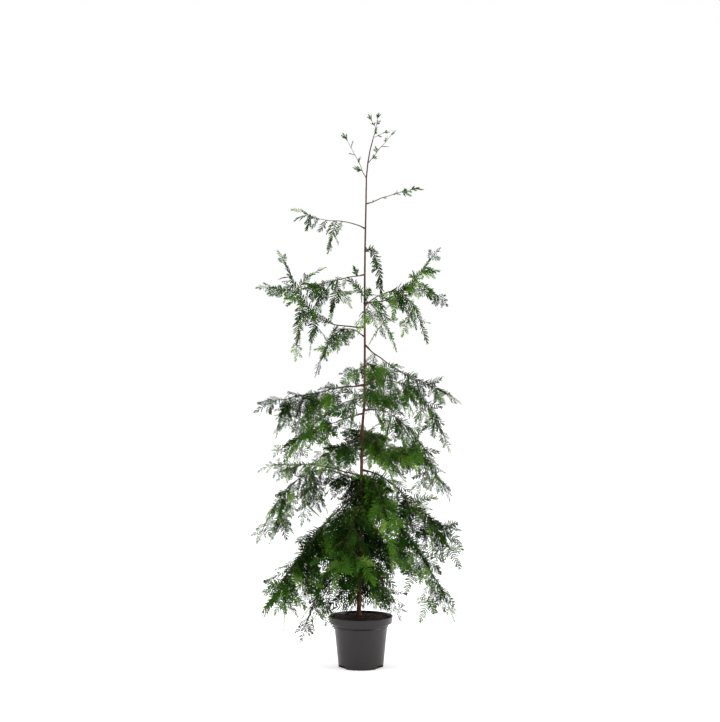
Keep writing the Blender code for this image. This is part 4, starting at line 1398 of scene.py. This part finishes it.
def crumbTree():
    # loose crumbs of peat over the surface
    tree, given, result = newTree("peat_crumbs", (
        ("Density", "Float"), ("Smallest", "Float"), ("Largest", "Float"), ("Material", "Material"),
    ))
    normal = addNode(tree, "GeometryNodeInputNormal")
    split = addNode(tree, "ShaderNodeSeparateXYZ", {0: normal})
    upward = addNode(tree, "FunctionNodeCompare", {0: split.outputs[2], 1: 0.5},
                     operation="GREATER_THAN")
    points = addNode(tree, "GeometryNodeDistributePointsOnFaces",
                     {"Mesh": given["Geometry"], "Selection": upward,
                      "Density": given["Density"], "Seed": 7})
    grain = addNode(tree, "GeometryNodeMeshIcoSphere", {"Radius": 1.0, "Subdivisions": 1})
    turn = addNode(tree, "FunctionNodeRandomValue", {0: (0, 0, 0), 1: peat["crumbTurn"], "Seed": 3},
                   data_type="FLOAT_VECTOR")
    size = addNode(tree, "FunctionNodeRandomValue",
                   {2: given["Smallest"], 3: given["Largest"], "Seed": 5}, data_type="FLOAT")
    least, most = peat["crumbSquash"]
    squash = addNode(tree, "FunctionNodeRandomValue",
                     {0: least, 1: most, "Seed": 9}, data_type="FLOAT_VECTOR")
    scale = addNode(tree, "ShaderNodeVectorMath", {0: squash, 3: size.outputs[1]},
                    operation="SCALE")
    laid = addNode(tree, "GeometryNodeInstanceOnPoints",
                   {"Points": points, "Instance": grain, "Rotation": turn, "Scale": scale})
    real = addNode(tree, "GeometryNodeRealizeInstances", {"Geometry": laid})
    return endTree(tree, real, given, result)


def makePeat(material):
    outer = pot["rimRadius"] - pot["rimTaper"] / 2 - peat["gap"]
    profile = []
    for i in range(peat["rings"] + 1):
        radius = outer * i / peat["rings"]
        profile.append((radius, float(np.interp(radius, (*peat["radii"], outer), peat["heights"]))))
    inside = (
        (pot["rimRadius"] - pot["rimTaper"] - pot["ledge"], rimFoot + 0.0038),
        (pot["collarRadius"] - pot["ledge"], rimFoot + 0.0028),
        (pot["wallTop"], collarFoot),
        (pot["footRadius"], peat["foot"]),
    )
    profile += [(radius - peat["gap"], height) for radius, height in inside]
    data = turnedMesh("peat_bed", profile + [(0, peat["foot"])], peat["steps"])
    for vert in data.vertices:
        if vert.co.z > peat["roughFrom"]:
            rough = noise.fractal(vert.co * peat["roughness"], *peat["fractal"])
            vert.co.z += rough * peat["relief"]
    data.shade_smooth()
    return newObject("peat_bed", data, material)


print("growing the tree by its rule")
growTree()
materials = makeMaterials()
limbs = limbTree()
needles = needleTree()

print("trunk, boughs and twigs")
trunkShoots = Lines("girth")
trunkShoots.add([(x, y, height - rule["clearance"]) for height, x, y, _ in trunkRows],
                girth=[row[3] for row in trunkRows])
woodPieces = []
for name, shoots, material, sides, step, depth, width, length in (
    # the lines and their bark: its sides, its steps, and how deep its fissures are as a share
    # of the girth, how wide and how long
    ("trunk_bark", trunkShoots, "bark", 30, 0.0035, 0.10, 0.0022, 0.014),
    ("bough_bark", boughShoots, "youngBark", 8, 0.005, 0.10, 0.0030, 0.0060),
    ("fine_twigs", twigShoots, "twig", 4, 0.012, 0.0, 0.003, 0.006),
    ("feather_midribs", midribs, "midrib", 3, 0.012, 0.0, 0.003, 0.006),
):
    woodPieces.append(grown(name, planMesh(name + "_plan", shoots), limbs, {
        "Sides": sides, "Step": step, "Fissure depth": depth, "Fissure width": width,
        "Fissure length": length, "Material": materials[material]}))
trunkPiece, boughPiece, twigPiece, midribPiece = woodPieces

print("needles")
shortNeedle = newObject("short_needle", needleMesh("short_needle", needleShape["shortRings"]))
longNeedle = newObject("long_needle", needleMesh("long_needle", needleShape["longRings"]))
needlePieces = []
for name in greens:
    needlePieces.append(grown(name, planMesh(name + "_plan", feathers[name]), needles, {
        "Short needle": shortNeedle, "Long needle": longNeedle, "Long from": needleShape["longFrom"],
        "Width": needleShape["width"], "Wider by": needleShape["widerBy"],
        "Tip lean": needleShape["tipLean"], "Stray": needleShape["stray"],
        "Material": materials[name]}))
bpy.data.objects.remove(shortNeedle)
bpy.data.objects.remove(longNeedle)

print("pot and peat")
potPiece = makePot(materials["pot"])
peatPiece = makePeat(materials["peat"])
crumbPiece = grown("peat_crumbs", peatPiece.data.copy(), crumbTree(), {
    "Density": peat["crumbs"], "Smallest": peat["crumbSize"][0], "Largest": peat["crumbSize"][1],
    "Material": materials["peat"]})

print("joining to the frame")
nodes = sorted(frame["nodes"])
foliage = [name for name in nodes if name.startswith("foliage_")]
limbNodes = [name for name in nodes if name.startswith("bough_")]
for piece, slot, stands in (
    (trunkPiece, "bark", ["trunk"]),
    (boughPiece, "twig_bark", limbNodes),
    (twigPiece, "twig_bark", foliage),
    (midribPiece, "needles", foliage),
    (potPiece, "pot_plastic", ["pot"]),
    (peatPiece, "peat", ["peat"]),
    (crumbPiece, "peat", ["peat"]),
    *[(piece, "needles", foliage) for piece in needlePieces],
):
    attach(piece, "root")
    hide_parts(*stands)
